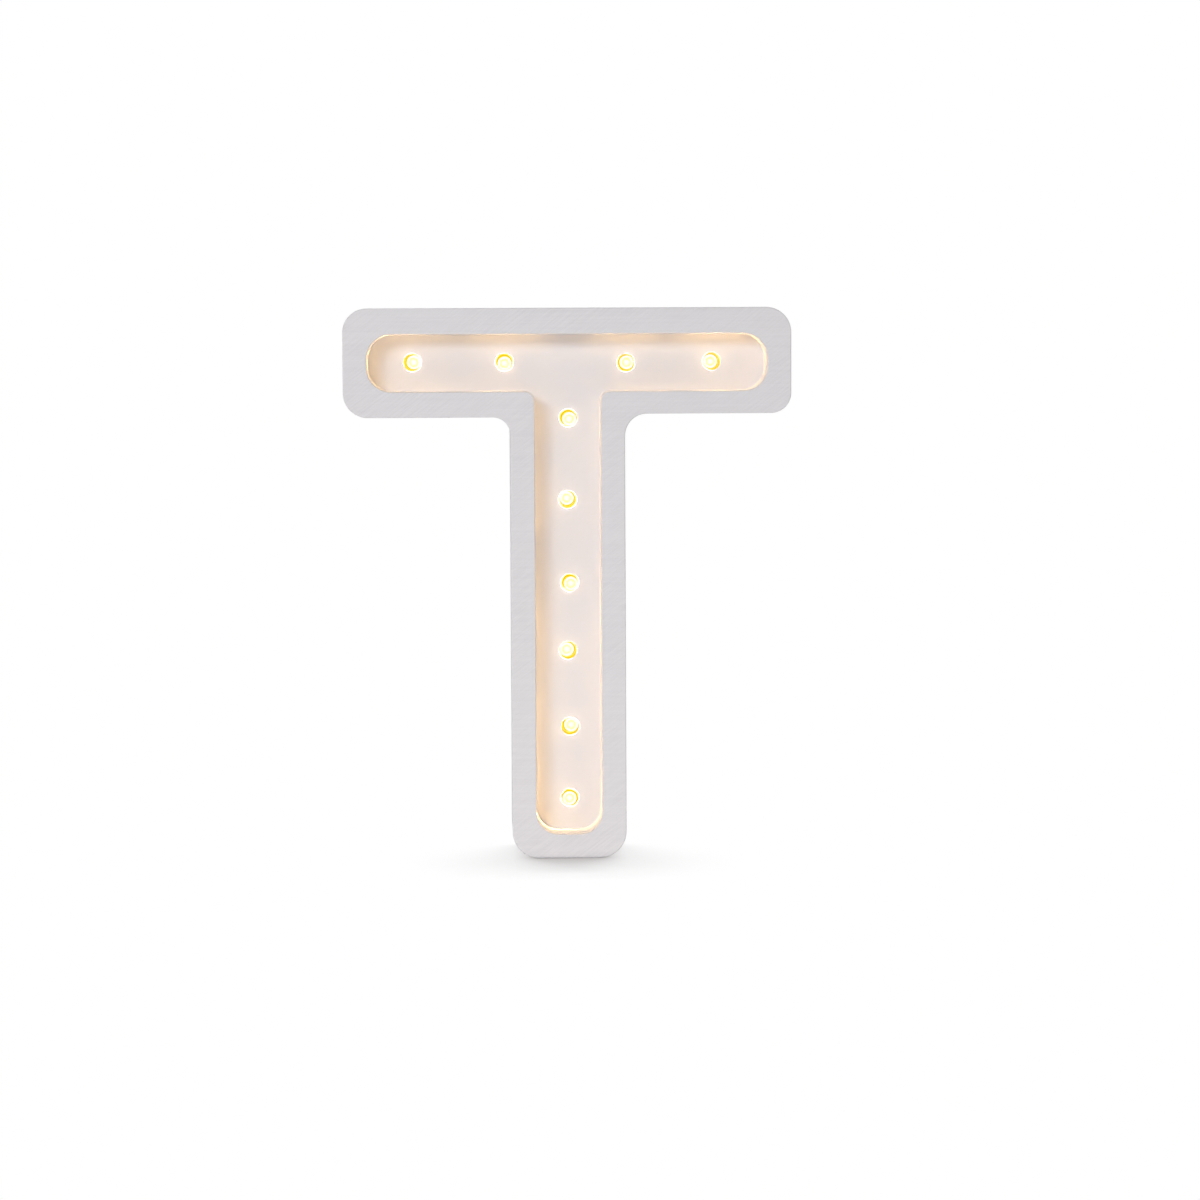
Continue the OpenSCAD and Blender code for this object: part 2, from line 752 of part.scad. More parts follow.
// Battery door: a flush plate with a rounded upper end, pivot stubs and a sunk screw hole
module battery_door() {
    color("white") difference() {
        union() {
            block([-door_half, door_y, door_low_z], [door_half, panel_y, hinge_z]);
            translate([-door_half, hinge_y, hinge_z]) rotate([0, 90, 0])
                cylinder(h = 2 * door_half, r = door_round_r);
            translate([-door_half - stub_l, hinge_y, hinge_z]) rotate([0, 90, 0])
                cylinder(h = 2 * (door_half + stub_l), r = stub_r);
        }
        rod(0, door_screw_z, door_y - cut, panel_y + cut, door_screw_r + door_head_gap);
        rod(0, door_screw_z, panel_y - door_head_t - door_seat_gap, panel_y + cut,
            door_head_r + door_head_gap);
    }
}

// Captive screw of the door
module door_screw() {
    color("silver") difference() {
        union() {
            rod(0, door_screw_z, door_screw_tip_y, panel_y - door_head_t / 2, door_screw_r);
            rod(0, door_screw_z, panel_y - door_head_t, panel_y, door_head_r);
        }
        cross_recess(0, door_screw_z, panel_y, door_head_r, door_recess_d);
    }
}

letter_body();
for (i = [0 : len(lights) - 1])
    light(i);
led_glue();
led_leads();
wire_red();
wire_black();
wire_switch();
resistor();
battery_box();
battery_box_screws();
bridge_plate();
bridge_spring();
plus_plate();
minus_plate();
minus_spring();
battery_left();
battery_right();
door_insert();
back_panel();
panel_screws();
switch_frame();
switch_base();
switch_terminals();
switch_screws();
switch_knob();
battery_door();
door_screw();
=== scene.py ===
import math

import bmesh
import bpy
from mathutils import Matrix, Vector


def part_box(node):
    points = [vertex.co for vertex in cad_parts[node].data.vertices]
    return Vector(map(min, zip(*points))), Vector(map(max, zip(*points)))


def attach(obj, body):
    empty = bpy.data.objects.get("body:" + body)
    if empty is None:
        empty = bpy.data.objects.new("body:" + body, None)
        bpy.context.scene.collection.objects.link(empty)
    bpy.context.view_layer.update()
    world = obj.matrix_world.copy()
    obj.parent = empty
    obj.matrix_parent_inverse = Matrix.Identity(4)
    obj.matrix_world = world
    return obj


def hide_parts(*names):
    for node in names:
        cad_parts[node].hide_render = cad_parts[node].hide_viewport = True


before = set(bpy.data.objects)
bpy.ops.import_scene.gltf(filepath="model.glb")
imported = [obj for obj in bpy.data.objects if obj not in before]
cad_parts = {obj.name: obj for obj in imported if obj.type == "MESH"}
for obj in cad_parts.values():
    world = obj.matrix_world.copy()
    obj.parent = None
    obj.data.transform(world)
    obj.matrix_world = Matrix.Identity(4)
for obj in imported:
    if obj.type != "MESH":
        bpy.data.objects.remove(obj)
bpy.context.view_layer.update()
bpy.ops.object.select_all(action="DESELECT")


# The board: a capital T cut from one thick piece of pine. A router cuts the channel in its front
# and the rabbet and pockets in its back, and a drill makes the light holes and screw pilots.
# The edges are eased with sandpaper, and the board is brushed with white satin paint.
mm = 0.001
cut = 1 * mm
board_low, board_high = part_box("letter_body")
panel_low, panel_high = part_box("back_panel")
box_low, box_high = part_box("battery_box")
front_y = board_low.y
rim_y = board_high.y
floor_y = front_y + 15 * mm
pocket_y = box_low.y
seat_y = panel_low.y
panel_y = panel_high.y
rim_w = 3 * mm
pocket_gap = 0.3 * mm
corner_steps = 20
edge_ease = 0.45 * mm
mouth_ease = 0.3 * mm
hole_ease = 0.32 * mm
floor_ease = 0.5 * mm
bare_inset = 4 * mm
near = 0.1 * mm
same = 0.01 * mm
board_shape = {
    "half_bar": board_high.x, "half_stem": 20.75 * mm, "top": board_high.z, "foot": board_low.z,
    "under_left": 160.6 * mm, "under_right": 161.7 * mm,
    "top_left_r": 8.7 * mm, "top_right_r": 9.2 * mm, "end_left_r": 9 * mm, "end_right_r": 7.4 * mm,
    "foot_r": 9.8 * mm, "pit_left_r": 6.3 * mm, "pit_right_r": 8 * mm,
}
channel_shape = {
    "half_bar": 72.45 * mm, "half_stem": 12.05 * mm, "top": 190.6 * mm, "foot": 8.8 * mm,
    "under_left": 169.8 * mm, "under_right": 169.8 * mm,
    "top_left_r": 9 * mm, "top_right_r": 9 * mm, "end_left_r": 9 * mm, "end_right_r": 9 * mm,
    "foot_r": 8.2 * mm, "pit_left_r": 3.7 * mm, "pit_right_r": 3.7 * mm,
}
bar_pocket_low, bar_pocket_high = (-64 * mm, 173.4 * mm), (64 * mm, 187.4 * mm)
stem_pocket_half = 11 * mm
pocket_r = 2.8 * mm
light_hole_r = 3.15 * mm
pilot_r = 1.12 * mm
panel_screw_l = 10.5 * mm
box_pilot_y = -0.4 * mm
light_names = [f"led_{i:02d}" for i in range(1, 11)]
# Each hole's middle, as X and Z. The lights lean off it a little, each its own way
light_holes = [(x * mm, z * mm) for x, z in (
    (-56.2, 180.4), (-22.6, 180.4), (21.7, 180), (53, 180.4), (0.5, 160), (0.2, 130.2),
    (0.8, 99.7), (0.1, 74.8), (0.7, 46.8), (0.5, 20.4))]
panel_screws_at = [(x * mm, z * mm) for x, z in (
    (-71, 190), (71, 190), (-71, 171), (71, 171), (-14.2, 86), (14.2, 86), (-9, 7.8), (9, 7.8))]
box_screws_at = [(0, 34 * mm), (0, 60 * mm)]


def choose(obj):
    """Selects one object alone and makes it the active one."""
    bpy.ops.object.select_all(action="DESELECT")
    obj.select_set(True)
    bpy.context.view_layer.objects.active = obj


def open_mesh(obj):
    """Opens one piece in edit mode, with nothing else selected."""
    choose(obj)
    bpy.ops.object.mode_set(mode="EDIT")


def close_mesh():
    """Goes back to object mode."""
    bpy.ops.object.mode_set(mode="OBJECT")


def pick(obj, kind, wanted):
    """Selects the vertices, edges or faces of an open mesh for which wanted is true."""
    bpy.ops.mesh.select_mode(type=kind)
    bpy.ops.mesh.select_all(action="DESELECT")
    mesh = bmesh.from_edit_mesh(obj.data)
    mesh.normal_update()
    for part in {"VERT": mesh.verts, "EDGE": mesh.edges, "FACE": mesh.faces}[kind]:
        if wanted(part):
            part.select_set(True)
    mesh.select_flush_mode()
    bmesh.update_edit_mesh(obj.data)


def named(obj, name):
    """Names a piece, and puts its place, turn and size into its mesh."""
    choose(obj)
    obj.name = name
    obj.data.name = name
    bpy.ops.object.transform_apply(location=True, rotation=True, scale=True)
    return obj


def block(name, low, high):
    """A box between two corners."""
    middle = [(a + b) / 2 for a, b in zip(low, high)]
    size = [b - a for a, b in zip(low, high)]
    bpy.ops.mesh.primitive_cube_add(size=1, location=middle, scale=size)
    return named(bpy.context.object, name)


def rod(name, x, z, y0, y1, radius, steps=48):
    """A round rod along Y."""
    bpy.ops.mesh.primitive_cylinder_add(
        vertices=steps, radius=radius, depth=y1 - y0, location=(x, (y0 + y1) / 2, z),
        rotation=(math.pi / 2, 0, 0))
    return named(bpy.context.object, name)


def along_y(edge, x, z):
    """True for an edge that runs along Y at (x, z)."""
    return all(abs(v.co.x - x) < same and abs(v.co.z - z) < same for v in edge.verts)


def round_corners(obj, corners):
    """Rounds upright edges along Y. Each corner is X, Z and radius."""
    open_mesh(obj)
    for x, z, radius in corners:
        pick(obj, "EDGE", lambda e: along_y(e, x, z))
        bpy.ops.mesh.bevel(offset=radius, segments=corner_steps, affect="EDGES")
    close_mesh()


def round_block(name, low, high, radius):
    """A box whose four edges along Y are round."""
    obj = block(name, low, high)
    round_corners(obj, [(x, z, radius) for x in (low[0], high[0]) for z in (low[2], high[2])])
    return obj


def drawn_in(shape, inset):
    """The same T with its outline drawn in by inset all round."""
    grows = ("foot", "under_left", "under_right", "pit_left_r", "pit_right_r")
    return {k: v + inset if k in grows else v - inset for k, v in shape.items()}


def pull(y=0, z=0):
    """Extrudes the selected faces along Y or Z."""
    bpy.ops.mesh.extrude_region_move(TRANSFORM_OT_translate={"value": (0, y, z)})


def t_block(name, shape, y0, y1):
    """A solid T from depth y0 to depth y1, with each corner at its own radius."""
    bar, stem, top, foot = (shape[k] for k in ("half_bar", "half_stem", "top", "foot"))
    left, right = shape["under_left"], shape["under_right"]
    obj = block(name, (-bar, y0, left), (bar, y1, top))
    open_mesh(obj)
    for x in (-stem, stem):
        bpy.ops.mesh.select_all(action="SELECT")
        bpy.ops.mesh.bisect(plane_co=(x, 0, 0), plane_no=(1, 0, 0))
    pick(obj, "FACE", lambda f: f.normal.z < -0.5 and abs(f.calc_center_median().x) < stem)
    pull(z=foot - left)
    pick(obj, "FACE", lambda f: f.normal.z < -0.5 and f.calc_center_median().x > stem)
    bpy.ops.transform.translate(value=(0, 0, right - left))
    bpy.ops.mesh.select_all(action="SELECT")
    bpy.ops.mesh.dissolve_limited(angle_limit=math.radians(1))
    close_mesh()
    round_corners(obj, [
        (-bar, top, shape["top_left_r"]), (bar, top, shape["top_right_r"]),
        (-bar, left, shape["end_left_r"]), (bar, right, shape["end_right_r"]),
        (-stem, left, shape["pit_left_r"]), (stem, right, shape["pit_right_r"]),
        (-stem, foot, shape["foot_r"]), (stem, foot, shape["foot_r"])])
    return obj


def combine(obj, tool, operation="DIFFERENCE"):
    """Cuts a tool out of a piece, or joins it on, and takes the tool away."""
    choose(obj)
    bpy.ops.object.modifier_add(type="BOOLEAN")
    step = obj.modifiers[-1]
    step.object = tool
    step.operation = operation
    step.solver = "EXACT"
    bpy.ops.object.modifier_apply(modifier=step.name)
    bpy.data.objects.remove(tool)


def ease(obj, width, wanted, steps=3, sharp=30):
    """Rounds the sharp edges for which wanted is true."""
    open_mesh(obj)
    pick(obj, "EDGE", lambda e: e.is_manifold
         and e.calc_face_angle() > math.radians(sharp) and wanted(e))
    bpy.ops.mesh.bevel(offset=width, segments=steps, affect="EDGES")
    close_mesh()


def at_depth(edge, y):
    """True for an edge that lies at depth y."""
    return all(abs(v.co.y - y) < same for v in edge.verts)


def near_axis(edge, x, z, radius):
    """True for an edge within radius of the line along Y at (x, z)."""
    return all(math.hypot(v.co.x - x, v.co.z - z) < radius for v in edge.verts)


def smooth(obj, angle=35):
    """Shades round faces smooth, and keeps flat faces flat up to their eased edges."""
    choose(obj)
    bpy.ops.object.shade_smooth_by_angle(angle=math.radians(angle))
    bpy.ops.object.modifier_add(type="WEIGHTED_NORMAL")
    step = obj.modifiers[-1]
    step.keep_sharp = True
    bpy.ops.object.modifier_apply(modifier=step.name)


def add_node(tree, kind, sockets=None, **settings):
    """Adds a shader node, with values for its sockets by name and for its own settings."""
    node = tree.nodes.new(kind)
    for key, value in settings.items():
        setattr(node, key, value)
    for key, value in (sockets or {}).items():
        node.inputs[key].default_value = value
    return node


def new_finish(name, sockets):
    """A new material: its node tree, its main shader and its object coordinates."""
    material = bpy.data.materials.new(name)
    material.use_nodes = True
    tree = material.node_tree
    shader = tree.nodes["Principled BSDF"]
    for key, value in sockets.items():
        shader.inputs[key].default_value = value
    place = add_node(tree, "ShaderNodeTexCoord")
    return material, tree, shader, place.outputs["Object"]


def pattern(tree, place, scale, turn=(0, 0, 0), detail=4, roughness=0.55, distortion=0):
    """Noise on object coordinates, stretched by a scale for each axis after a turn."""
    turned = add_node(tree, "ShaderNodeMapping", {"Rotation": turn}, vector_type="TEXTURE")
    spread = add_node(tree, "ShaderNodeMapping", {"Scale": scale})
    noise = add_node(tree, "ShaderNodeTexNoise", {
        "Scale": 1, "Detail": detail, "Roughness": roughness, "Distortion": distortion})
    tree.links.new(place, turned.inputs["Vector"])
    tree.links.new(turned.outputs["Vector"], spread.inputs["Vector"])
    tree.links.new(spread.outputs["Vector"], noise.inputs["Vector"])
    return noise.outputs["Fac"]


def ramp(tree, value, stops, interpolation="LINEAR"):
    """A colour ramp over a value. Each stop is its place and its colour."""
    node = add_node(tree, "ShaderNodeValToRGB")
    band = node.color_ramp
    band.interpolation = interpolation
    while len(band.elements) < len(stops):
        band.elements.new(1)
    for element, (place, colour) in zip(band.elements, stops):
        element.position = place
        element.color = (*colour, 1)
    tree.links.new(value, node.inputs["Fac"])
    return node.outputs["Color"]


def math_node(tree, operation, a, b):
    """One step of arithmetic between sockets or numbers."""
    node = add_node(tree, "ShaderNodeMath", operation=operation)
    for socket, value in zip(node.inputs, (a, b)):
        if isinstance(value, (int, float)):
            socket.default_value = value
        else:
            tree.links.new(value, socket)
    return node.outputs["Value"]


def weighed(tree, *parts):
    """The sum of some values, each taken at its share."""
    shares = [math_node(tree, "MULTIPLY", value, share) for value, share in parts]
    total = shares[0]
    for share in shares[1:]:
        total = math_node(tree, "ADD", total, share)
    return total


def one_axis(tree, vector, axis):
    """One coordinate of a vector."""
    node = add_node(tree, "ShaderNodeSeparateXYZ")
    tree.links.new(vector, node.inputs["Vector"])
    return node.outputs[axis]


def spread_value(tree, value, low, high, start=0, end=1):
    """Maps a value between start and end onto the range from low to high."""
    node = add_node(tree, "ShaderNodeMapRange", {
        "From Min": start, "From Max": end, "To Min": low, "To Max": high})
    tree.links.new(value, node.inputs["Value"])
    return node.outputs["Result"]


def raise_surface(tree, shader, height, strength, distance):
    """Bump from a height."""
    node = add_node(tree, "ShaderNodeBump", {"Strength": strength, "Distance": distance})
    tree.links.new(height, node.inputs["Height"])
    tree.links.new(node.outputs["Normal"], shader.inputs["Normal"])


def painted_wood(name, light, dark, face_y, behind):
    """White paint over wood: fine grain along X, a stipple, and slanted brush strokes on the face.

    Behind the face the paint is lighter, painted light that brightens the channel, and only a share of
    that relief is left."""
    material, tree, shader, place = new_finish(name, {"Specular IOR Level": 0.35})
    fine = pattern(tree, place, (30, 500, 1150), detail=3, roughness=0.6, distortion=0.2)
    bands = pattern(tree, place, (9, 120, 240), detail=3, distortion=0.6)
    strokes = pattern(tree, place, (90, 300, 1700), turn=(0, math.radians(-37), 0), detail=2)
    patch = spread_value(tree, pattern(tree, place, (24, 24, 24), detail=1), -0.4, 1.7)
    stipple = pattern(tree, place, (2600, 2600, 2600), detail=2)
    coat = weighed(tree, (fine, 0.5), (bands, 0.2), (stipple, 0.3))
    brushed = math_node(tree, "MULTIPLY", math_node(tree, "SUBTRACT", strokes, 0.5), patch)
    relief = math_node(tree, "ADD", math_node(tree, "SUBTRACT", coat, 0.5), brushed)
    depth = one_axis(tree, place, "Y")
    face_end, rear_start = face_y + 0.4 * mm, face_y + 0.8 * mm

    def by_depth(on_face, rear):
        """One value on the face and another behind it."""
        return spread_value(tree, depth, on_face, rear, face_end, rear_start)

    # Behind the face the height rises from 0.5 to 0.7, which lightens the paint there: painted light in
    # the channel.
    height = math_node(tree, "ADD", math_node(tree, "MULTIPLY", relief, by_depth(1, behind)),
                       by_depth(0.5, 0.7))
    colour = ramp(tree, height, [(0.25, dark), (0.6, light), (0.85, [c * 1.04 for c in light])])
    tree.links.new(colour, shader.inputs["Base Color"])
    tree.links.new(spread_value(tree, height, 0.46, 0.6), shader.inputs["Roughness"])
    raise_surface(tree, shader, height, 0.2, 0.1 * mm)
    return material


def bare_wood(name, glow=0):
    """Bare pine, where the drill and the router leave it: long grain along X, and where glow is set, a
    painted amber glow that stands in for the lights.
    """
    material, tree, shader, place = new_finish(name, {
        "Specular IOR Level": 0.2, "Emission Strength": glow})
    rings = pattern(tree, place, (14, 160, 420), detail=4, distortion=0.8)
    pores = pattern(tree, place, (120, 1400, 1900), detail=2)
    mixed = weighed(tree, (rings, 0.7), (pores, 0.3))
    colour = ramp(tree, mixed, [(0.3, (0.47, 0.26, 0.075)), (0.7, (0.64, 0.4, 0.14))])
    tree.links.new(colour, shader.inputs["Base Color"])
    tree.links.new(spread_value(tree, mixed, 0.6, 0.8), shader.inputs["Roughness"])
    amber = ramp(tree, mixed, [(0.3, (0.95, 0.4, 0)), (0.7, (1, 0.5, 0))])
    tree.links.new(amber, shader.inputs["Emission Color"])
    raise_surface(tree, shader, mixed, 0.4, 0.1 * mm)
    return material


board = t_block("painted_board", board_shape, front_y, rim_y)
combine(board, t_block("channel_cutter", channel_shape, front_y - cut, floor_y))
combine(board, t_block("rabbet_cutter", drawn_in(board_shape, rim_w), seat_y, rim_y + cut))
combine(board, round_block(
    "bar_pocket_cutter", (bar_pocket_low[0], pocket_y, bar_pocket_low[1]),
    (bar_pocket_high[0], seat_y + cut, bar_pocket_high[1]), pocket_r))
combine(board, block(
    "stem_pocket_cutter", (-stem_pocket_half, pocket_y, box_high.z - cut),
    (stem_pocket_half, seat_y + cut, bar_pocket_low[1] + cut)))
combine(board, round_block(
    "box_pocket_cutter", (box_low.x - pocket_gap, pocket_y, box_low.z - pocket_gap),
    (box_high.x + pocket_gap, seat_y + cut, box_high.z + pocket_gap), pocket_r))
for x, z in light_holes:
    combine(board, rod("light_drill", x, z, floor_y - cut, pocket_y + cut, light_hole_r, steps=64))
for x, z in panel_screws_at:
    combine(board, rod("pilot_drill", x, z, panel_y - panel_screw_l, seat_y + cut, pilot_r, steps=24))
for x, z in box_screws_at:
    combine(board, rod("pilot_drill", x, z, box_pilot_y, pocket_y + cut, pilot_r, steps=24))


def within(shape, x, z):
    """True for a point inside a T's outline."""
    on_bar = abs(x) < shape["half_bar"] and shape["under_right"] < z < shape["top"]
    return on_bar or abs(x) < shape["half_stem"] and shape["foot"] < z < shape["top"]


def join_doubles(obj):
    """Joins vertices that lie on each other."""
    open_mesh(obj)
    bpy.ops.mesh.select_all(action="SELECT")
    bpy.ops.mesh.remove_doubles(threshold=same)
    bpy.ops.mesh.dissolve_degenerate(threshold=same)
    bpy.ops.mesh.delete_loose(use_verts=True, use_edges=True, use_faces=False)
    close_mesh()


def clear_cut_lines(obj):
    """Takes away the lines that cutters leave across flat faces."""
    join_doubles(obj)
    open_mesh(obj)
    bpy.ops.mesh.select_all(action="SELECT")
    bpy.ops.mesh.dissolve_limited(angle_limit=math.radians(0.5))
    close_mesh()


def at_light_hole(edge):
    """True for an edge of one of the light holes."""
    return any(near_axis(edge, x, z, light_hole_r + near) for x, z in light_holes)


def at_channel(edge):
    """True for an edge of the channel's mouth."""
    round_mouth = drawn_in(channel_shape, -mm)
    return at_depth(edge, front_y) and all(within(round_mouth, v.co.x, v.co.z) for v in edge.verts)


clear_cut_lines(board)
ease(board, edge_ease, lambda e: at_depth(e, rim_y) or at_depth(e, front_y) and not at_channel(e),
     steps=4)
ease(board, mouth_ease, at_channel)
ease(board, hole_ease, lambda e: at_depth(e, floor_y) and at_light_hole(e), steps=4)
ease(board, floor_ease, lambda e: at_depth(e, floor_y) and not at_light_hole(e))
join_doubles(board)
smooth(board)
board.data.materials.append(painted_wood(
    "white_paint_on_pine", (0.713, 0.7, 0.719), (0.653, 0.64, 0.662), front_y, 0.22))
board.data.materials.append(bare_wood("bare_pine"))
# The third finish is bare pine with a painted amber glow, for the hole walls round the lights.
board.data.materials.append(bare_wood("lit_pine", glow=0.9))
bare_shape = drawn_in(board_shape, bare_inset)
bare_low, bare_high = floor_y + hole_ease - near / 2, seat_y - near / 2
# Pockets and hole walls are bare pine, and the faces round each light hole take the painted amber glow.
for face in board.data.polygons:
    x, y, z = face.center
    if bare_low < y < bare_high and within(bare_shape, x, z):
        lit = any(math.hypot(x - at_x, z - at_z) < light_hole_r + hole_ease for at_x, at_z in light_holes)
        face.material_index = 2 if lit else 1
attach(board, "letter")
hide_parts("letter_body")


# The lights: ten warm round ones with a flange at the back and a hollow cone in the tip, moulded
# from clear resin. Each is pushed into its hole from behind, tilts a little its own way, and is
# lit, so the tip glows almost white and what is seen down the gap beside it glows amber.
lens_r = 2.57 * mm
lens_l = 5.4 * mm
flange_r = 2.75 * mm
flange_t = 1 * mm
cone_r = 1.8 * mm
cone_d = 1.5 * mm
tip_edge = 0.35 * mm
flange_ease = 0.1 * mm
tip_below_floor = 0.4 * mm
light_back_y = floor_y + tip_below_floor + lens_l
# How far each tip leans off the middle of its hole, as X and Z. The back has a share of it
light_leans = [(x * mm, z * mm) for x, z in (
    (0.58, 0.1), (0.05, -0.5), (0.25, 0.15), (-0.45, 0), (0.42, -0.42), (-0.36, 0.46),
    (0.44, -0.4), (-0.45, 0.3), (0.36, 0.46), (-0.15, -0.35))]
back_lean = 0.3


def shrink(value, y):
    """Scales what is selected towards the line along Y through the origin, at depth y."""
    bpy.ops.transform.resize(value=(value, 1, value), center_override=(0, y, 0))


def copy_of(obj):
    """A copy of a piece with its own mesh."""
    choose(obj)
    bpy.ops.object.duplicate(linked=False)
    return bpy.context.object


def lit_lens():
    """Glow from the lens's middle outwards and back: core, ring round the cone, tip, then the side."""
    material, tree, shader, place = new_finish(
        "lit_lens", {"Base Color": (0.02, 0.014, 0.004, 1), "Roughness": 0.25, "Specular IOR Level": 0.2})
    outwards = add_node(tree, "ShaderNodeAttribute", attribute_name="outwards")
    sparkle = spread_value(tree, pattern(tree, place, (1300, 1300, 1300), detail=2), -0.06, 0.06)
    glow = ramp(tree, math_node(tree, "ADD", outwards.outputs["Fac"], sparkle), [
        (0.19, (1.0, 0.99, 0.92)), (0.24, (1.0, 0.96, 0.68)), (0.275, (1.0, 0.88, 0.32)),
        (0.305, (1.0, 0.91, 0.42)), (0.335, (1.0, 0.98, 0.93)), (0.465, (1.0, 0.97, 0.86)),
        (0.49, (1.0, 0.58, 0.0)), (0.6, (1.0, 0.5, 0.0)), (0.87, (1.0, 0.43, 0.0))])
    tree.links.new(glow, shader.inputs["Emission Color"])
    shader.inputs["Emission Strength"].default_value = 1.08
    return material


lens = rod("lens", 0, 0, -lens_l, -flange_t, lens_r, steps=64)
open_mesh(lens)
pick(lens, "FACE", lambda f: f.normal.y < -0.9)
bpy.ops.mesh.inset(thickness=lens_r - cone_r)
pull(cone_d)
bpy.ops.mesh.merge(type="CENTER")
pick(lens, "FACE", lambda f: f.normal.y > 0.9)
pull()
shrink(flange_r / lens_r, -flange_t)
pull(flange_t)
close_mesh()
ease(lens, tip_edge, lambda e: at_depth(e, -lens_l) and not near_axis(e, 0, 0, cone_r + near), steps=5)
ease(lens, flange_ease, lambda e: not near_axis(e, 0, 0, lens_r + near), steps=2)
smooth(lens)
outwards = lens.data.attributes.new("outwards", "FLOAT", "POINT")
for vertex, entry in zip(lens.data.vertices, outwards.data):
    out_share = math.hypot(vertex.co.x, vertex.co.z) / flange_r
    back_share = (vertex.co.y + lens_l) / lens_l
    entry.value = (out_share + back_share) / 2
lens.data.materials.append(lit_lens())
lenses = [lens] + [copy_of(lens) for _ in light_names[1:]]
for piece, name, (x, z), (lean_x, lean_z) in zip(lenses, light_names, light_holes, light_leans):
    slope = (1 - back_lean) / lens_l
    piece.location = (x + back_lean * lean_x, light_back_y, z + back_lean * lean_z)
    piece.rotation_euler = (-math.atan(slope * lean_z), 0, math.atan(slope * lean_x))
    named(piece, name.replace("led", "lens"))
    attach(piece, "letter")
    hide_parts(name)


# The glue: a dab of hot glue, pressed into each hole from behind, which fills it and holds the light
# there. It is cloudy, and it is given a painted amber glow, which stands in for the light through it.
def dress(node, material):
    """Gives a piece that is shown as it was cut its finish."""
    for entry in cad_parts[node].material_slots:
        entry.material = material


def speckled(name, light, dark, scale, rough, relief, sockets=None):
    """A finish of fine speckle: colour and roughness vary between two levels over a low relief."""
    material, tree, shader, place = new_finish(name, sockets or {})
    grain = pattern(tree, place, scale, detail=3)
    broad = pattern(tree, place, [s * 0.07 for s in scale], detail=2)
    mixed = weighed(tree, (grain, 0.6), (broad, 0.4))
    tree.links.new(ramp(tree, mixed, [(0.35, dark), (0.65, light)]), shader.inputs["Base Color"])
    tree.links.new(spread_value(tree, mixed, *rough), shader.inputs["Roughness"])
    raise_surface(tree, shader, grain, 0.35, relief)
    return material


# The glue's emission is a painted amber glow: the glue itself is no lamp.
dress("led_glue", speckled(
    "cloudy_glue", (0.78, 0.75, 0.64), (0.66, 0.62, 0.5), (900, 900, 900), (0.25, 0.45), 0.05 * mm,
    {"Emission Color": (1, 0.46, 0, 1), "Emission Strength": 0.95, "Specular IOR Level": 0.2}))


# The wiring: tinned leads out of each light, soldered to a red and a black bus wire, a red wire
# from the battery box to the switch, and a small resistor on the way from the switch to the bus.
tin = speckled("tinned_copper", (0.74, 0.73, 0.7), (0.58, 0.57, 0.54), (2500, 2500, 2500), (0.25, 0.45),
               0.01 * mm, {"Metallic": 1})
red_sleeve = speckled("red_insulation", (0.5, 0.03, 0.025), (0.38, 0.02, 0.018), (1800, 1800, 1800),
                      (0.35, 0.5), 0.01 * mm)
black_sleeve = speckled("black_insulation", (0.03, 0.03, 0.033), (0.018, 0.018, 0.02), (1800, 1800, 1800),
                        (0.35, 0.5), 0.01 * mm)
dress("led_leads", tin)
dress("wire_red", red_sleeve)
dress("wire_switch", red_sleeve)
dress("wire_black", black_sleeve)


def banded_resistor():
    """Tan lacquer with four colour rings, between bright leads."""
    material, tree, shader, place = new_finish("banded_resistor", {"Roughness": 0.35})
    low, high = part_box("resistor")
    body_low, body_l = 114.85 * mm, 6.3 * mm
    along = spread_value(tree, one_axis(tree, place, "Z"), 0, 1, low.z, high.z)
    tan, metal = (0.62, 0.46, 0.27), (0.6, 0.59, 0.56)
    rings = [(0.16, (0.3, 0.02, 0.02)), (0.34, (0.03, 0.01, 0.004)), (0.52, (0.02, 0.015, 0.012)),
             (0.82, (0.5, 0.32, 0.08))]
    ring_w = 0.09

    def share(part):
        return (body_low + part * body_l - low.z) / (high.z - low.z)

    stops = [(0, metal), (share(0), tan)]
    for part, colour in rings:
        stops += [(share(part), colour), (share(part + ring_w), tan)]
    stops.append((share(1), metal))
    tree.links.new(ramp(tree, along, stops, "CONSTANT"), shader.inputs["Base Color"])
    raise_surface(tree, shader, pattern(tree, place, (1500, 1500, 1500)), 0.2, 0.02 * mm)
    return material


dress("resistor", banded_resistor())


# The battery box: a tray for two cells with a small bay for the door's screw, moulded from white
# plastic in one piece. Two feet under its floor rest on the pocket, and a screw goes through each.
tray_wall = 1.6 * mm
tray_floor_t = 1.2 * mm
tray_corner_r = 2.5 * mm
tray_ease = 0.25 * mm
foot_h = 1.9 * mm
foot_r = 2.6 * mm
boss_r = 2.8 * mm
partition_t = 1.2 * mm
plate_gap = 0.03 * mm
groove_d = 0.5 * mm
groove_w = 0.46 * mm
tab_half = 1.1 * mm
tab_slot = (-0.1 * mm, 0.5 * mm)
sink = 0.2 * mm
hinge_hole_r = 0.76 * mm
hinge_hole_l = 1.5 * mm
door_low, door_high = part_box("battery_door")
insert_low, insert_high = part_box("door_insert")
bridge_low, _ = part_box("bridge_plate")
stub_l = 1.3 * mm
door_half = door_high.x - stub_l
hinge_y = (door_low.y + door_high.y) / 2
hinge_z = door_high.z - (door_high.y - door_low.y) / 2
door_screw_z = (insert_low.z + insert_high.z) / 2
insert_bore_r = 1.4 * mm
cell_x = 5.45 * mm


def rod_across(name, y, z, x0, x1, radius, steps=32):
    """A round rod along X."""
    bpy.ops.mesh.primitive_cylinder_add(
        vertices=steps, radius=radius, depth=x1 - x0, location=((x0 + x1) / 2, y, z),
        rotation=(0, math.pi / 2, 0))
    return named(bpy.context.object, name)


def moulded_plastic(name, light):
    """Matt moulded plastic with a fine spark texture."""
    return speckled(name, light, [c * 0.95 for c in light], (5200, 5200, 5200), (0.42, 0.56), 0.02 * mm)


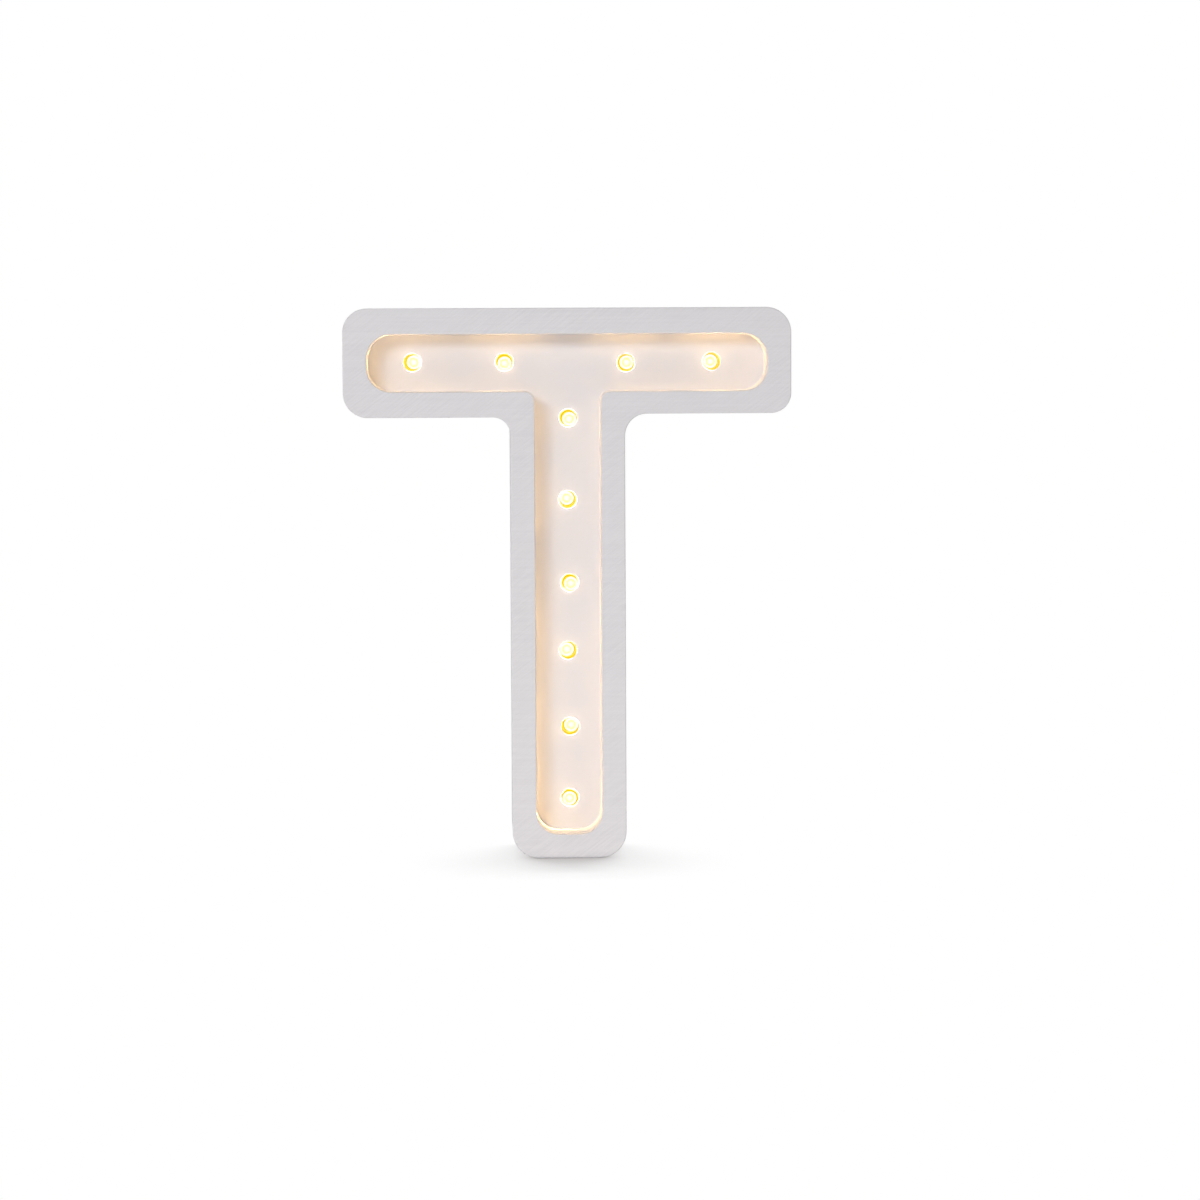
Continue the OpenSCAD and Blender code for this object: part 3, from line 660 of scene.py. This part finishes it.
tray_y = box_low.y + foot_h
bay_y = tray_y + tray_floor_t
bay_half = box_high.x - tray_wall
bay_low_z = bridge_low.z - plate_gap
bay_top_z = box_high.z - tray_wall
tray = round_block("battery_tray", (box_low.x, tray_y, box_low.z), box_high, tray_corner_r)
combine(tray, block("cell_bay_cutter", (-bay_half, bay_y, bay_low_z),
                    (bay_half, panel_y + cut, bay_top_z)))
combine(tray, block("screw_bay_cutter", (-bay_half, bay_y, box_low.z + tray_wall),
                    (bay_half, panel_y + cut, bay_low_z - partition_t)))
combine(tray, rod("boss", 0, door_screw_z, bay_y - sink, insert_high.y, boss_r), "UNION")
combine(tray, block("door_seat_cutter", (-bay_half, insert_high.y, box_low.z + tray_wall),
                    (bay_half, panel_y + cut, bay_top_z)))
combine(tray, rod("insert_drill", 0, door_screw_z, insert_low.y, insert_high.y + cut,
                  insert_high.x + plate_gap))
combine(tray, rod("boss_drill", 0, door_screw_z, bay_y + cut, insert_high.y, insert_bore_r, steps=32))
combine(tray, rod_across("hinge_drill", hinge_y, hinge_z, -door_half - hinge_hole_l,
                         door_half + hinge_hole_l, hinge_hole_r))
for plate in ("bridge_plate", "plus_plate"):
    low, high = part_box(plate)
    foot_z = low.z - plate_gap
    combine(tray, block("groove_cutter", (-bay_half - groove_d, low.y - plate_gap, foot_z),
                        (bay_half + groove_d, insert_high.y + plate_gap, foot_z + groove_w)))
for x in (-cell_x, cell_x):
    combine(tray, block("tab_cutter", (x - tab_half, bridge_low.y + tab_slot[0], bay_top_z - cut),
                        (x + tab_half, bridge_low.y + tab_slot[1], box_high.z + cut)))
for x, z in box_screws_at:
    combine(tray, rod("tray_foot", x, z, box_low.y, tray_y + near, foot_r), "UNION")
    combine(tray, rod("screw_drill", x, z, box_low.y - cut, bay_y + cut, pilot_r, steps=24))
ease(tray, tray_ease, lambda e: at_depth(e, panel_y))
smooth(tray)
tray.data.materials.append(moulded_plastic("white_box_plastic", (0.76, 0.76, 0.74)))
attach(tray, "letter")
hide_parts("battery_box")


# The box's screws: two wood screws with round heads, pressed from steel and plated with bright zinc.
# Each goes through the tray's floor and the foot under it into the board.
zinc = speckled("bright_zinc", (0.72, 0.72, 0.73), (0.56, 0.56, 0.575), (1400, 1400, 1400), (0.22, 0.4),
                0.01 * mm, {"Metallic": 1})
dress("battery_box_screws", zinc)


# The contacts: nickel-plated plates slid into grooves at both ends of the bay, and a tapering
# spring of nickel-plated wire at the flat end of each cell, closed flat at both its ends.
nickel = speckled("nickel_plate", (0.78, 0.76, 0.71), (0.66, 0.64, 0.59), (400, 400, 3000), (0.18, 0.34),
                  0.008 * mm, {"Metallic": 1})
for plate in ("bridge_plate", "plus_plate", "minus_plate"):
    dress(plate, nickel)
spring_wire_r = 0.35 * mm
spring_coil_r = (3.4 * mm, 2.5 * mm)
spring_turns = 2.5
closed_turns = 0.8
turn_points = 20
wire_join = 0.001 * mm


def coil_spring(name, low, high):
    """A spring along Z, wide and closed at its low end, narrow and closed at its high end."""
    reach = high - low - 2 * spring_wire_r
    count = int((spring_turns + 2 * closed_turns) * turn_points)
    bpy.ops.object.select_all(action="DESELECT")
    bpy.ops.curve.primitive_nurbs_path_add()
    obj = bpy.context.object
    obj.data.splines.clear()
    line = obj.data.splines.new("POLY")
    line.points.add(count)
    for i, point in enumerate(line.points):
        turn = i / turn_points
        rise = min(max((turn - closed_turns) / spring_turns, 0), 1)
        radius = spring_coil_r[0] + (spring_coil_r[1] - spring_coil_r[0]) * rise
        angle = 2 * math.pi * turn
        height = low + spring_wire_r + reach * rise
        point.co = (radius * math.cos(angle), radius * math.sin(angle), height, 1)
    obj.data.bevel_depth = spring_wire_r
    obj.data.bevel_resolution = 3
    obj.data.use_fill_caps = True
    bpy.ops.object.convert(target="MESH")
    open_mesh(obj)
    bpy.ops.mesh.select_all(action="SELECT")
    bpy.ops.mesh.remove_doubles(threshold=wire_join)
    bpy.ops.mesh.normals_make_consistent(inside=False)
    close_mesh()
    return named(obj, name)


for name, turn in (("bridge_spring", 0), ("minus_spring", math.pi)):
    low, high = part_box(name)
    middle = (low + high) / 2
    spring = coil_spring(name.replace("spring", "coil"), low.z - middle.z, high.z - middle.z)
    spring.location = middle
    spring.rotation_euler = (turn, 0, 0)
    named(spring, spring.name)
    smooth(spring, 60)
    spring.data.materials.append(nickel)
    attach(spring, "letter")
    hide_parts(name)


# The cells: two small dry cells side by side, nubs at opposite ends. Each is a steel can in a
# plain shrunk film sleeve, which laps a little over both its ends.
cell_low, cell_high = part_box("battery_left")
cell_r = (cell_high.x - cell_low.x) / 2
cell_half = (cell_high.z - cell_low.z) / 2
nub_l = 0.9 * mm
nub_r = 1.9 * mm
film_lap = 0.7 * mm
film_t = 0.2 * mm
shoulder_r = 0.5 * mm
nub_ease = 0.3 * mm


def film_sleeve():
    """Glossy green film with a pale band near the nub, by the place along the cell."""
    material, tree, shader, place = new_finish("green_film", {"Coat Weight": 0.4, "Coat Roughness": 0.12})
    along = add_node(tree, "ShaderNodeAttribute", attribute_name="along")
    colour = ramp(tree, along.outputs["Fac"], [
        (0, (0.035, 0.16, 0.08)), (0.74, (0.62, 0.63, 0.6)), (0.77, (0.02, 0.024, 0.022))], "CONSTANT")
    crinkle = pattern(tree, place, (300, 300, 120), detail=3)
    mix = add_node(tree, "ShaderNodeMix", {"Factor": 0.35}, data_type="RGBA", blend_type="MULTIPLY")
    tree.links.new(colour, mix.inputs["A"])
    tree.links.new(ramp(tree, crinkle, [(0.3, (0.7, 0.7, 0.7)), (0.7, (1, 1, 1))]), mix.inputs["B"])
    tree.links.new(mix.outputs["Result"], shader.inputs["Base Color"])
    tree.links.new(spread_value(tree, crinkle, 0.25, 0.4), shader.inputs["Roughness"])
    raise_surface(tree, shader, crinkle, 0.15, 0.03 * mm)
    return material


bpy.ops.mesh.primitive_cylinder_add(
    vertices=64, radius=cell_r, depth=2 * cell_half - nub_l, location=(0, 0, -nub_l / 2))
cell = named(bpy.context.object, "cell")
open_mesh(cell)
pick(cell, "FACE", lambda f: f.normal.z > 0.9)
bpy.ops.mesh.inset(thickness=film_lap)
pull(z=-film_t)
bpy.ops.mesh.inset(thickness=cell_r - film_lap - nub_r)
pull(z=film_t + nub_l)
pick(cell, "FACE", lambda f: f.normal.z < -0.9)
bpy.ops.mesh.inset(thickness=film_lap)
pull(z=film_t)
bpy.ops.mesh.inset(thickness=film_lap)
pull(z=-film_t)
close_mesh()


def round_the_axis(edge, radius):
    """True for an edge at that distance from the line along Z through the origin."""
    return all(abs(math.hypot(v.co.x, v.co.y) - radius) < same for v in edge.verts)


ease(cell, shoulder_r, lambda e: round_the_axis(e, cell_r), steps=5, sharp=60)
ease(cell, nub_ease, lambda e: round_the_axis(e, nub_r) and e.verts[0].co.z > cell_half - near, steps=4)
smooth(cell)
along = cell.data.attributes.new("along", "FLOAT", "POINT")
for vertex, entry in zip(cell.data.vertices, along.data):
    entry.value = (vertex.co.z + cell_half) / (2 * cell_half)
cell.data.materials.append(film_sleeve())
cell.data.materials.append(nickel)
for face in cell.data.polygons:
    if math.hypot(face.center.x, face.center.y) < cell_r - film_lap:
        face.material_index = 1
for piece, name, turn in ((copy_of(cell), "battery_right", math.pi), (cell, "battery_left", 0)):
    low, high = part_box(name)
    piece.location = (low + high) / 2
    piece.rotation_euler = (turn, 0, 0)
    named(piece, name.replace("battery", "cell"))
    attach(piece, "letter")
    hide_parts(name)


# The insert: a small threaded bush, turned from brass and pressed into the boss of the battery box.
# It takes the door's screw, so that the plastic doesn't wear.
dress("door_insert", speckled(
    "turned_brass", (0.83, 0.62, 0.26), (0.66, 0.46, 0.17), (500, 4000, 500), (0.2, 0.38), 0.01 * mm,
    {"Metallic": 1}))


# The back panel: thin board sawn to the rabbet, with a window for the battery box, a slot for the
# switch, a keyhole to hang the lamp by and countersunk holes, rolled with white paint.
panel_rim = 3.2 * mm
panel_finish = painted_wood("white_paint_on_board", (0.72, 0.71, 0.71), (0.66, 0.65, 0.655), panel_y, 0.3)
head_r = 2.1 * mm
head_t = 1.2 * mm
hole_gap = 0.05 * mm
panel_hole_r = 1.15 * mm
switch_hole_r = 1.05 * mm
panel_ease = 0.2 * mm
round_end = 0.98
knob_low, knob_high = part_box("switch_knob")
switch_z = (knob_low.z + knob_high.z) / 2
switch_screws_at = [(x * mm, switch_z) for x in (-8.3, 8.3)]
slot_half = (4.5 * mm, 2.2 * mm)
keyhole_r = 4 * mm
keyhole_slot_r = 2.1 * mm
keyhole_z, keyhole_end_z = 174.5 * mm, 181 * mm


def countersink(x, z, radius):
    """A drill for a countersunk hole through the panel, its cone at the outer face."""
    depth = panel_y - seat_y
    tool = rod("countersink", 0, 0, -depth - cut, -head_t, radius, steps=32)
    open_mesh(tool)
    pick(tool, "FACE", lambda f: f.normal.y > 0.9)
    pull(head_t)
    shrink((head_r + hole_gap) / radius, 0)
    pull(cut)
    close_mesh()
    tool.location = (x, panel_y, z)
    return named(tool, "countersink")


panel = t_block("rear_panel", drawn_in(board_shape, panel_rim), seat_y, panel_y)
combine(panel, round_block(
    "window_cutter", (box_low.x - pocket_gap, seat_y - cut, box_low.z - pocket_gap),
    (box_high.x + pocket_gap, panel_y + cut, box_high.z + pocket_gap), pocket_r))
combine(panel, block("slot_cutter", (-slot_half[0], seat_y - cut, switch_z - slot_half[1]),
                     (slot_half[0], panel_y + cut, switch_z + slot_half[1])))
combine(panel, rod("keyhole_drill", 0, keyhole_z, seat_y - cut, panel_y + cut, keyhole_r))
combine(panel, round_block("keyhole_cutter", (-keyhole_slot_r, seat_y - cut, keyhole_z),
                           (keyhole_slot_r, panel_y + cut, keyhole_end_z + keyhole_slot_r),
                           keyhole_slot_r * round_end))
for x, z in panel_screws_at:
    combine(panel, countersink(x, z, panel_hole_r))
for x, z in switch_screws_at:
    combine(panel, countersink(x, z, switch_hole_r))
ease(panel, panel_ease, lambda e: at_depth(e, panel_y), steps=2)
smooth(panel)
panel.data.materials.append(panel_finish)
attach(panel, "letter")
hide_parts("back_panel")


# The panel's screws: eight countersunk wood screws with crossed recesses, rolled and zinc plated,
# driven until their heads are flush. No two stopped at the same angle.
thread_pitch = 0.7 * mm
thread_d = 0.22 * mm
recess_arm = 0.62
recess_half_w = 0.14
recess_d = 0.62
head_ease = 0.08 * mm
panel_shank_r = 1.1 * mm
turn_step = 2.4


def cross_screw(name, head, head_height, shank, length, countersunk):
    """A screw along Y, its head's face at the origin, with a threaded shank and a crossed recess."""
    obj = rod(name, 0, 0, -head_height, 0, head, steps=40)
    open_mesh(obj)
    pick(obj, "FACE", lambda f: f.normal.y < -0.9)
    if not countersunk:
        pull()
    shrink(shank / head, -head_height)
    y = -head_height
    root = (shank - thread_d) / shank
    while y - thread_pitch > shank - length:
        for ratio in (root, 1 / root):
            y -= thread_pitch / 2
            pull(-thread_pitch / 2)
            shrink(ratio, y)
    pull(-length - y)
    bpy.ops.mesh.merge(type="CENTER")
    close_mesh()
    arm, half_w, depth = recess_arm * head, recess_half_w * head, recess_d * head_height
    for half_x, half_z in ((arm, half_w), (half_w, arm)):
        combine(obj, block("recess_cutter", (-half_x, -depth, -half_z), (half_x, cut, half_z)))
    ease(obj, head_ease, lambda e: at_depth(e, 0), steps=2)
    smooth(obj)
    obj.data.materials.append(zinc)
    return obj


def screw_set(name, screw, places, y):
    """Copies of one screw, each turned its own way, as one piece."""
    turn = 0
    screws = [screw] + [copy_of(screw) for _ in places[1:]]
    for piece, (x, z) in zip(screws, places):
        turn += turn_step
        piece.location = (x, y, z)
        piece.rotation_euler = (0, turn, 0)
        named(piece, name)
    for piece in screws:
        piece.select_set(True)
    bpy.context.view_layer.objects.active = screw
    bpy.ops.object.join()
    return named(screw, name)


panel_screw = cross_screw("panel_screw", head_r, head_t, panel_shank_r, panel_screw_l, countersunk=True)
panel_screws = screw_set("panel_screw_set", panel_screw, panel_screws_at, panel_y)
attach(panel_screws, "letter")
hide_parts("panel_screws")


# The switch: a folded steel frame behind the panel, closed by a brown insulating board with three
# tinned terminals, and held by two countersunk screws through the panel.
switch_shank_r = 1 * mm
switch_screw_l = 6 * mm
dress("switch_frame", speckled(
    "rolled_steel", (0.66, 0.66, 0.67), (0.52, 0.52, 0.53), (220, 900, 2600), (0.26, 0.42), 0.01 * mm,
    {"Metallic": 1}))
dress("switch_base", speckled(
    "pressed_board", (0.3, 0.17, 0.085), (0.2, 0.105, 0.05), (2200, 2200, 2200), (0.45, 0.65), 0.03 * mm))
dress("switch_terminals", tin)
switch_screw = cross_screw(
    "switch_screw", head_r, head_t, switch_shank_r, switch_screw_l, countersunk=True)
switch_screws = screw_set("switch_screw_pair", switch_screw, switch_screws_at, panel_y)
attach(switch_screws, "letter")
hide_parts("switch_screws")


# The switch's knob: black moulded plastic, with a wide carriage inside the frame, a stem through
# the slot and three grooves across its tip for a fingernail.
knob_half = (2.1 * mm, 1.8 * mm)
carriage_top_y = 14.4 * mm
groove_r = 0.3 * mm
groove_pitch = 1.1 * mm
knob_ease = 0.12 * mm
knob_x = (knob_low.x + knob_high.x) / 2
carriage_half = ((knob_high.x - knob_low.x) / 2, (knob_high.z - knob_low.z) / 2)
knob = block("slide_knob", knob_low, (knob_high.x, carriage_top_y, knob_high.z))
open_mesh(knob)
pick(knob, "FACE", lambda f: f.normal.y > 0.9)
pull()
bpy.ops.transform.resize(
    value=(knob_half[0] / carriage_half[0], 1, knob_half[1] / carriage_half[1]),
    center_override=(knob_x, carriage_top_y, switch_z))
pull(knob_high.y - carriage_top_y)
close_mesh()
for step in (-1, 0, 1):
    bpy.ops.mesh.primitive_cylinder_add(
        vertices=24, radius=groove_r, depth=4 * knob_half[1],
        location=(knob_x + step * groove_pitch, knob_high.y, switch_z))
    combine(knob, named(bpy.context.object, "groove_cutter"))
ease(knob, knob_ease, lambda e: max(v.co.y for v in e.verts) > carriage_top_y + near, steps=2, sharp=50)
smooth(knob)
knob.data.materials.append(speckled(
    "black_knob_plastic", (0.035, 0.035, 0.038), (0.022, 0.022, 0.024), (5200, 5200, 5200), (0.35, 0.5),
    0.02 * mm))
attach(knob, "switch_knob")
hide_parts("switch_knob")


# The battery door: a plate moulded from white plastic that lies flush with the panel. It swings on
# two stubs at its rounded upper end, and has a sunk field with finger ridges at its lower end.
door_edge = 0.2 * mm
field_d = 0.3 * mm
field_half = 8.4 * mm
field_r = 1.5 * mm
field_low_z, field_high_z = 23 * mm, 66 * mm
ridge_half = 5.2 * mm
ridge_w = 0.8 * mm
ridge_r = 0.39 * mm
ridge_start = 3 * mm
ridge_pitch = 1.9 * mm
ridge_count = 5
stub_r = 0.7 * mm
door_round_r = (door_high.y - door_low.y) / 2
screw_head_r = 1.9 * mm
screw_head_t = 0.7 * mm
screw_room = 0.25 * mm
door_hole_r = 1.25 * mm
door = block("hinged_door", (-door_half, door_low.y, door_low.z), (door_half, door_high.y, door_high.z))
ease(door, door_round_r * round_end, lambda e: all(v.co.z > door_high.z - near for v in e.verts)
     and abs(e.verts[0].co.y - e.verts[1].co.y) < same, steps=8)
combine(door, rod_across("stubs", hinge_y, hinge_z, -door_high.x, door_high.x, stub_r), "UNION")
combine(door, round_block("field_cutter", (-field_half, door_high.y - field_d, field_low_z),
                          (field_half, door_high.y + cut, field_high_z), field_r))
for i in range(ridge_count):
    z = field_low_z + ridge_start + i * ridge_pitch
    combine(door, round_block("ridge", (-ridge_half, door_high.y - field_d - sink, z - ridge_w / 2),
                              (ridge_half, door_high.y, z + ridge_w / 2), ridge_r), "UNION")
combine(door, rod("door_drill", 0, door_screw_z, door_low.y - cut, door_high.y + cut, door_hole_r,
                  steps=32))
combine(door, rod("head_drill", 0, door_screw_z, door_high.y - screw_head_t - hole_gap, door_high.y + cut,
                  screw_head_r + screw_room))
ease(door, door_edge, lambda e: at_depth(e, door_high.y) and e.verts[0].co.z < hinge_z - mm, steps=2)
smooth(door)
door.data.materials.append(moulded_plastic("white_door_plastic", (0.78, 0.78, 0.76)))
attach(door, "battery_door")
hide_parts("battery_door")


# The door's screw: a small machine screw with a flat round head, rolled from steel and zinc plated.
# It stays captive in the door, and goes into the brass insert.
screw_low, screw_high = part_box("door_screw")
door_screw_l = screw_high.y - screw_low.y
door_shank_r = 1 * mm
door_screw = cross_screw(
    "captive_screw", screw_head_r, screw_head_t, door_shank_r, door_screw_l, countersunk=False)
door_screw.location = (0, screw_high.y, door_screw_z)
named(door_screw, "captive_screw")
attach(door_screw, "door_screw")
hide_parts("door_screw")


# The stage: a pale floor that runs out of view, a white room that is brighter behind the letter
# than in front of it, a soft box from the front, up and to the left, and a white card on the floor
# before the letter that lifts its foot. The floor is one triangle, so no seam crosses it.
floor_r = 60
bpy.ops.mesh.primitive_circle_add(vertices=3, radius=floor_r, fill_type="NGON")
floor = named(bpy.context.object, "studio_floor")
floor_finish, tree, shader, _ = new_finish(
    "pale_floor", {"Base Color": (0.6, 0.595, 0.59, 1), "Roughness": 0.9, "Specular IOR Level": 0})
shade_reach = 54 * mm
shade_depth = 0.96


def show_two(tree, unseen, seen, output):
    """Gives rays from the camera or off gloss and glass one shader, and all other rays another."""
    path = add_node(tree, "ShaderNodeLightPath")
    direct = math_node(tree, "MAXIMUM", path.outputs["Is Camera Ray"], path.outputs["Is Glossy Ray"])
    direct = math_node(tree, "MAXIMUM", direct, path.outputs["Is Transmission Ray"])
    choice = add_node(tree, "ShaderNodeMixShader")
    tree.links.new(direct, choice.inputs["Fac"])
    tree.links.new(unseen.outputs[0], choice.inputs[1])
    tree.links.new(seen.outputs[0], choice.inputs[2])
    tree.links.new(choice.outputs["Shader"], tree.nodes[output].inputs["Surface"])


def hidden_share(tree, way):
    """How much of the space towards one direction the letter hides from a point of the floor."""
    direction = add_node(tree, "ShaderNodeNormal")
    direction.outputs["Normal"].default_value = Vector(way).normalized()
    open_share = add_node(tree, "ShaderNodeAmbientOcclusion", {"Distance": shade_reach}, samples=16)
    tree.links.new(direction.outputs["Normal"], open_share.inputs["Normal"])
    return math_node(tree, "SUBTRACT", 1, open_share.outputs["AO"])


# Most light reaches the floor from behind, so a point is in shade where both rear quarters are hidden
rear_quarters = [hidden_share(tree, (x, 0.75, 0.3)) for x in (-0.6, 0.6)]
shade = math_node(tree, "MULTIPLY", math_node(tree, "MINIMUM", *rear_quarters), shade_depth)
seen_floor = add_node(tree, "ShaderNodeEmission", {"Strength": 1})
tree.links.new(ramp(tree, shade, [(0, (1, 1, 1)), (0.5, (0.5, 0.477, 0.472)), (1, (0, 0, 0))]),
               seen_floor.inputs["Color"])
show_two(tree, shader, seen_floor, "Material Output")
floor.data.materials.append(floor_finish)

room = bpy.data.worlds.new("white_room")
bpy.context.scene.world = room
room.use_nodes = True
tree = room.node_tree
back_light, front_light = 1.2, 0.322
direction = add_node(tree, "ShaderNodeTexCoord")
rearwards = one_axis(tree, direction.outputs["Generated"], "Y")
side = spread_value(tree, rearwards, front_light, back_light, 0.05, 0.4)
unlit = tree.nodes["Background"]
unlit.inputs["Color"].default_value = (1, 1, 1, 1)
tree.links.new(side, unlit.inputs["Strength"])
white = add_node(tree, "ShaderNodeBackground", {"Color": (1, 1, 1, 1), "Strength": 1})
show_two(tree, unlit, white, "World Output")

middle = Vector((0, front_y, 0.1))


def soft_box(name, place, way, size, energy, colour, shape):
    """An area lamp at a place, which shines along a direction."""
    bpy.ops.object.light_add(type="AREA", location=place)
    lamp = bpy.context.object
    lamp.name = name
    lamp.rotation_euler = Vector(way).to_track_quat("-Z", "Y").to_euler()
    lamp.data.shape = shape
    lamp.data.size, lamp.data.size_y = size
    lamp.data.energy = energy
    lamp.data.color = colour
    lamp.visible_camera = False


key_way = Vector((-0.375, -1, 0.31)).normalized()
key_reach = 3.5
key_size = (1.4, 0.8)
key_energy = 56.2
soft_box("key_lamp", middle + key_way * key_reach, -key_way, key_size, key_energy, (1, 1, 1), "ELLIPSE")
card_size = (0.5, 0.35)
card_gap, card_rise = 0.5 * mm, 0.3 * mm
card_energy = 0.25
card_colour = (1, 0.955, 0.935)
card_place = (0, front_y - card_size[1] / 2 - card_gap, card_rise)
soft_box("floor_card", card_place, (0, 0, 1), card_size, card_energy, card_colour, "RECTANGLE")

glow_ahead = 0.15 * mm
glow_r = 0.1 * mm
glow_energy = 0.011
edge_strength = 1.3
glow_colour = Vector((1, 0.64, 0.24))
fringe_colour = Vector((0.42, 0.25, 0.11))
edge_colour = Vector((0.17, 0.155, 0.125))
left, up, right = Vector((-1, 0, 0)), Vector((0, 0, 1)), Vector((1, 0, 0))
# How strong each light's glow is, the way most of it goes, and how bright it makes the wall beside it
glows = [
    (1.4, left + up * 0.6, 0.12), (1.1, up, 0.09), (0.85, up, 0.06), (1.85, right * 0.5 + up, 0.125),
    (1.1, left, 0.02), (0.95, left, 0.095), (1.15, left, 0.12), (1.05, left, 0.11), (1.5, left, 0.14),
    (1.5, left - up * 0.4, 0.15)]
glow_even, glow_gain = 0.4, 1.3


def shine_forwards(lamp, favoured, level):
    """Sends most of a lamp's light one way over the channel's floor, and a little onto its hole's edge.

    The light is strongest close over the floor, where it meets the foot of the channel's walls."""
    lamp.data.use_nodes = True
    tree = lamp.data.node_tree
    way = add_node(tree, "ShaderNodeTexCoord")
    turned = spread_value(tree, one_axis(tree, way.outputs["Normal"], "Y"), 0, 1, -1, 1)
    dark = (0, 0, 0)
    glow = ramp(tree, turned, [
        (0.1, glow_colour * 0.7), (0.16, glow_colour * 0.35), (0.25, glow_colour * 0.25),
        (0.33, glow_colour * 0.6), (0.4, glow_colour * 1.4), (0.48, glow_colour * 1.9), (0.5, dark)])
    tree.links.new(glow, tree.nodes["Emission"].inputs["Color"])
    edge = add_node(tree, "ShaderNodeEmission", {"Strength": edge_strength / level})
    ring = ramp(tree, turned, [
        (0.512, dark), (0.5195, fringe_colour), (0.5225, edge_colour), (0.545, edge_colour),
        (0.565, dark)])
    tree.links.new(ring, edge.inputs["Color"])
    both = add_node(tree, "ShaderNodeAddShader")
    tree.links.new(tree.nodes["Emission"].outputs["Emission"], both.inputs[0])
    tree.links.new(edge.outputs["Emission"], both.inputs[1])
    tree.links.new(both.outputs["Shader"], tree.nodes["Light Output"].inputs["Surface"])
    along = add_node(tree, "ShaderNodeVectorMath", operation="DOT_PRODUCT")
    along.inputs[1].default_value = favoured.normalized()
    tree.links.new(way.outputs["Normal"], along.inputs[0])
    towards = math_node(tree, "MAXIMUM", along.outputs["Value"], 0)
    gained = math_node(tree, "MULTIPLY", math_node(tree, "POWER", towards, 2), glow_gain)
    strength = math_node(tree, "ADD", gained, glow_even)
    tree.links.new(strength, tree.nodes["Emission"].inputs["Strength"])


wall_glow = (26 * mm, 4 * mm)
wall_gap = 0.05 * mm
wall_y = floor_y - wall_glow[1] / 2 - floor_ease
wall_energy = 0.0019
end_level, bar_corner_level, foot_corner_level = 0.05, 0.02, 0.06


def lit_wall(name, place, way, size, level):
    """The part of a channel's wall that a light turns amber, as a lamp that shines off the wall."""
    soft_box(name, place, way, size, wall_energy * level, glow_colour, "RECTANGLE")
    bpy.context.object.visible_glossy = False


for (x, z), (level, favoured, wall_level), piece in zip(light_holes, glows, lenses):
    bpy.ops.object.light_add(type="POINT", location=(x, floor_y - glow_ahead, z))
    glow = bpy.context.object
    glow.name = piece.name.replace("lens", "glow")
    glow.data.energy = glow_energy * level
    glow.data.shadow_soft_size = glow_r
    glow.visible_camera = False
    glow.visible_glossy = False
    shine_forwards(glow, favoured, level)
    name = glow.name.replace("glow", "lit_wall")
    if z > channel_shape["under_left"]:
        above = channel_shape["top"] - wall_gap
        lit_wall(name, (x, wall_y, above), (0, 0, -1), wall_glow, wall_level)
    else:
        beside = wall_gap - channel_shape["half_stem"]
        lit_wall(name, (beside, wall_y, z), (1, 0, 0), wall_glow[::-1], wall_level)
# Beside a round wall the lamp's flat face stands clear of the wall's curve
end_glow, end_gap = (wall_glow[1], 10 * mm), 0.8 * mm
end_wall = end_gap - channel_shape["half_bar"]
lit_wall("lit_end_wall", (end_wall, wall_y, light_holes[0][1]), (1, 0, 0), end_glow, end_level)
corner_glow, corner_gap = (wall_glow[1], 8 * mm), 1.05 * mm
for name, shape_x, shape_z, radius, level in (
        ("lit_bar_corner", "half_bar", "under_left", "end_left_r", bar_corner_level),
        ("lit_foot_corner", "half_stem", "foot", "foot_r", foot_corner_level)):
    inwards = channel_shape[radius] * (1 - math.sqrt(0.5)) + corner_gap * math.sqrt(0.5)
    place = (inwards - channel_shape[shape_x], wall_y, channel_shape[shape_z] + inwards)
    lit_wall(name, place, (1, 0, 1), corner_glow, level)

aim = Vector((0.0114, front_y, 0.0943))
eye = (-0.03, -1.309, 0.19)
roll = math.radians(-0.256)
bpy.ops.object.camera_add(location=eye)
camera = bpy.context.object
camera.name = "photo_view"
camera.rotation_euler = (aim - camera.location).to_track_quat("-Z", "Y").to_euler()
camera.rotation_euler.rotate_axis("Z", roll)
camera.data.lens = 107
camera.data.sensor_width = 36
camera.data.clip_end = 100
bpy.context.scene.camera = camera
bpy.context.scene.view_settings.view_transform = "Standard"
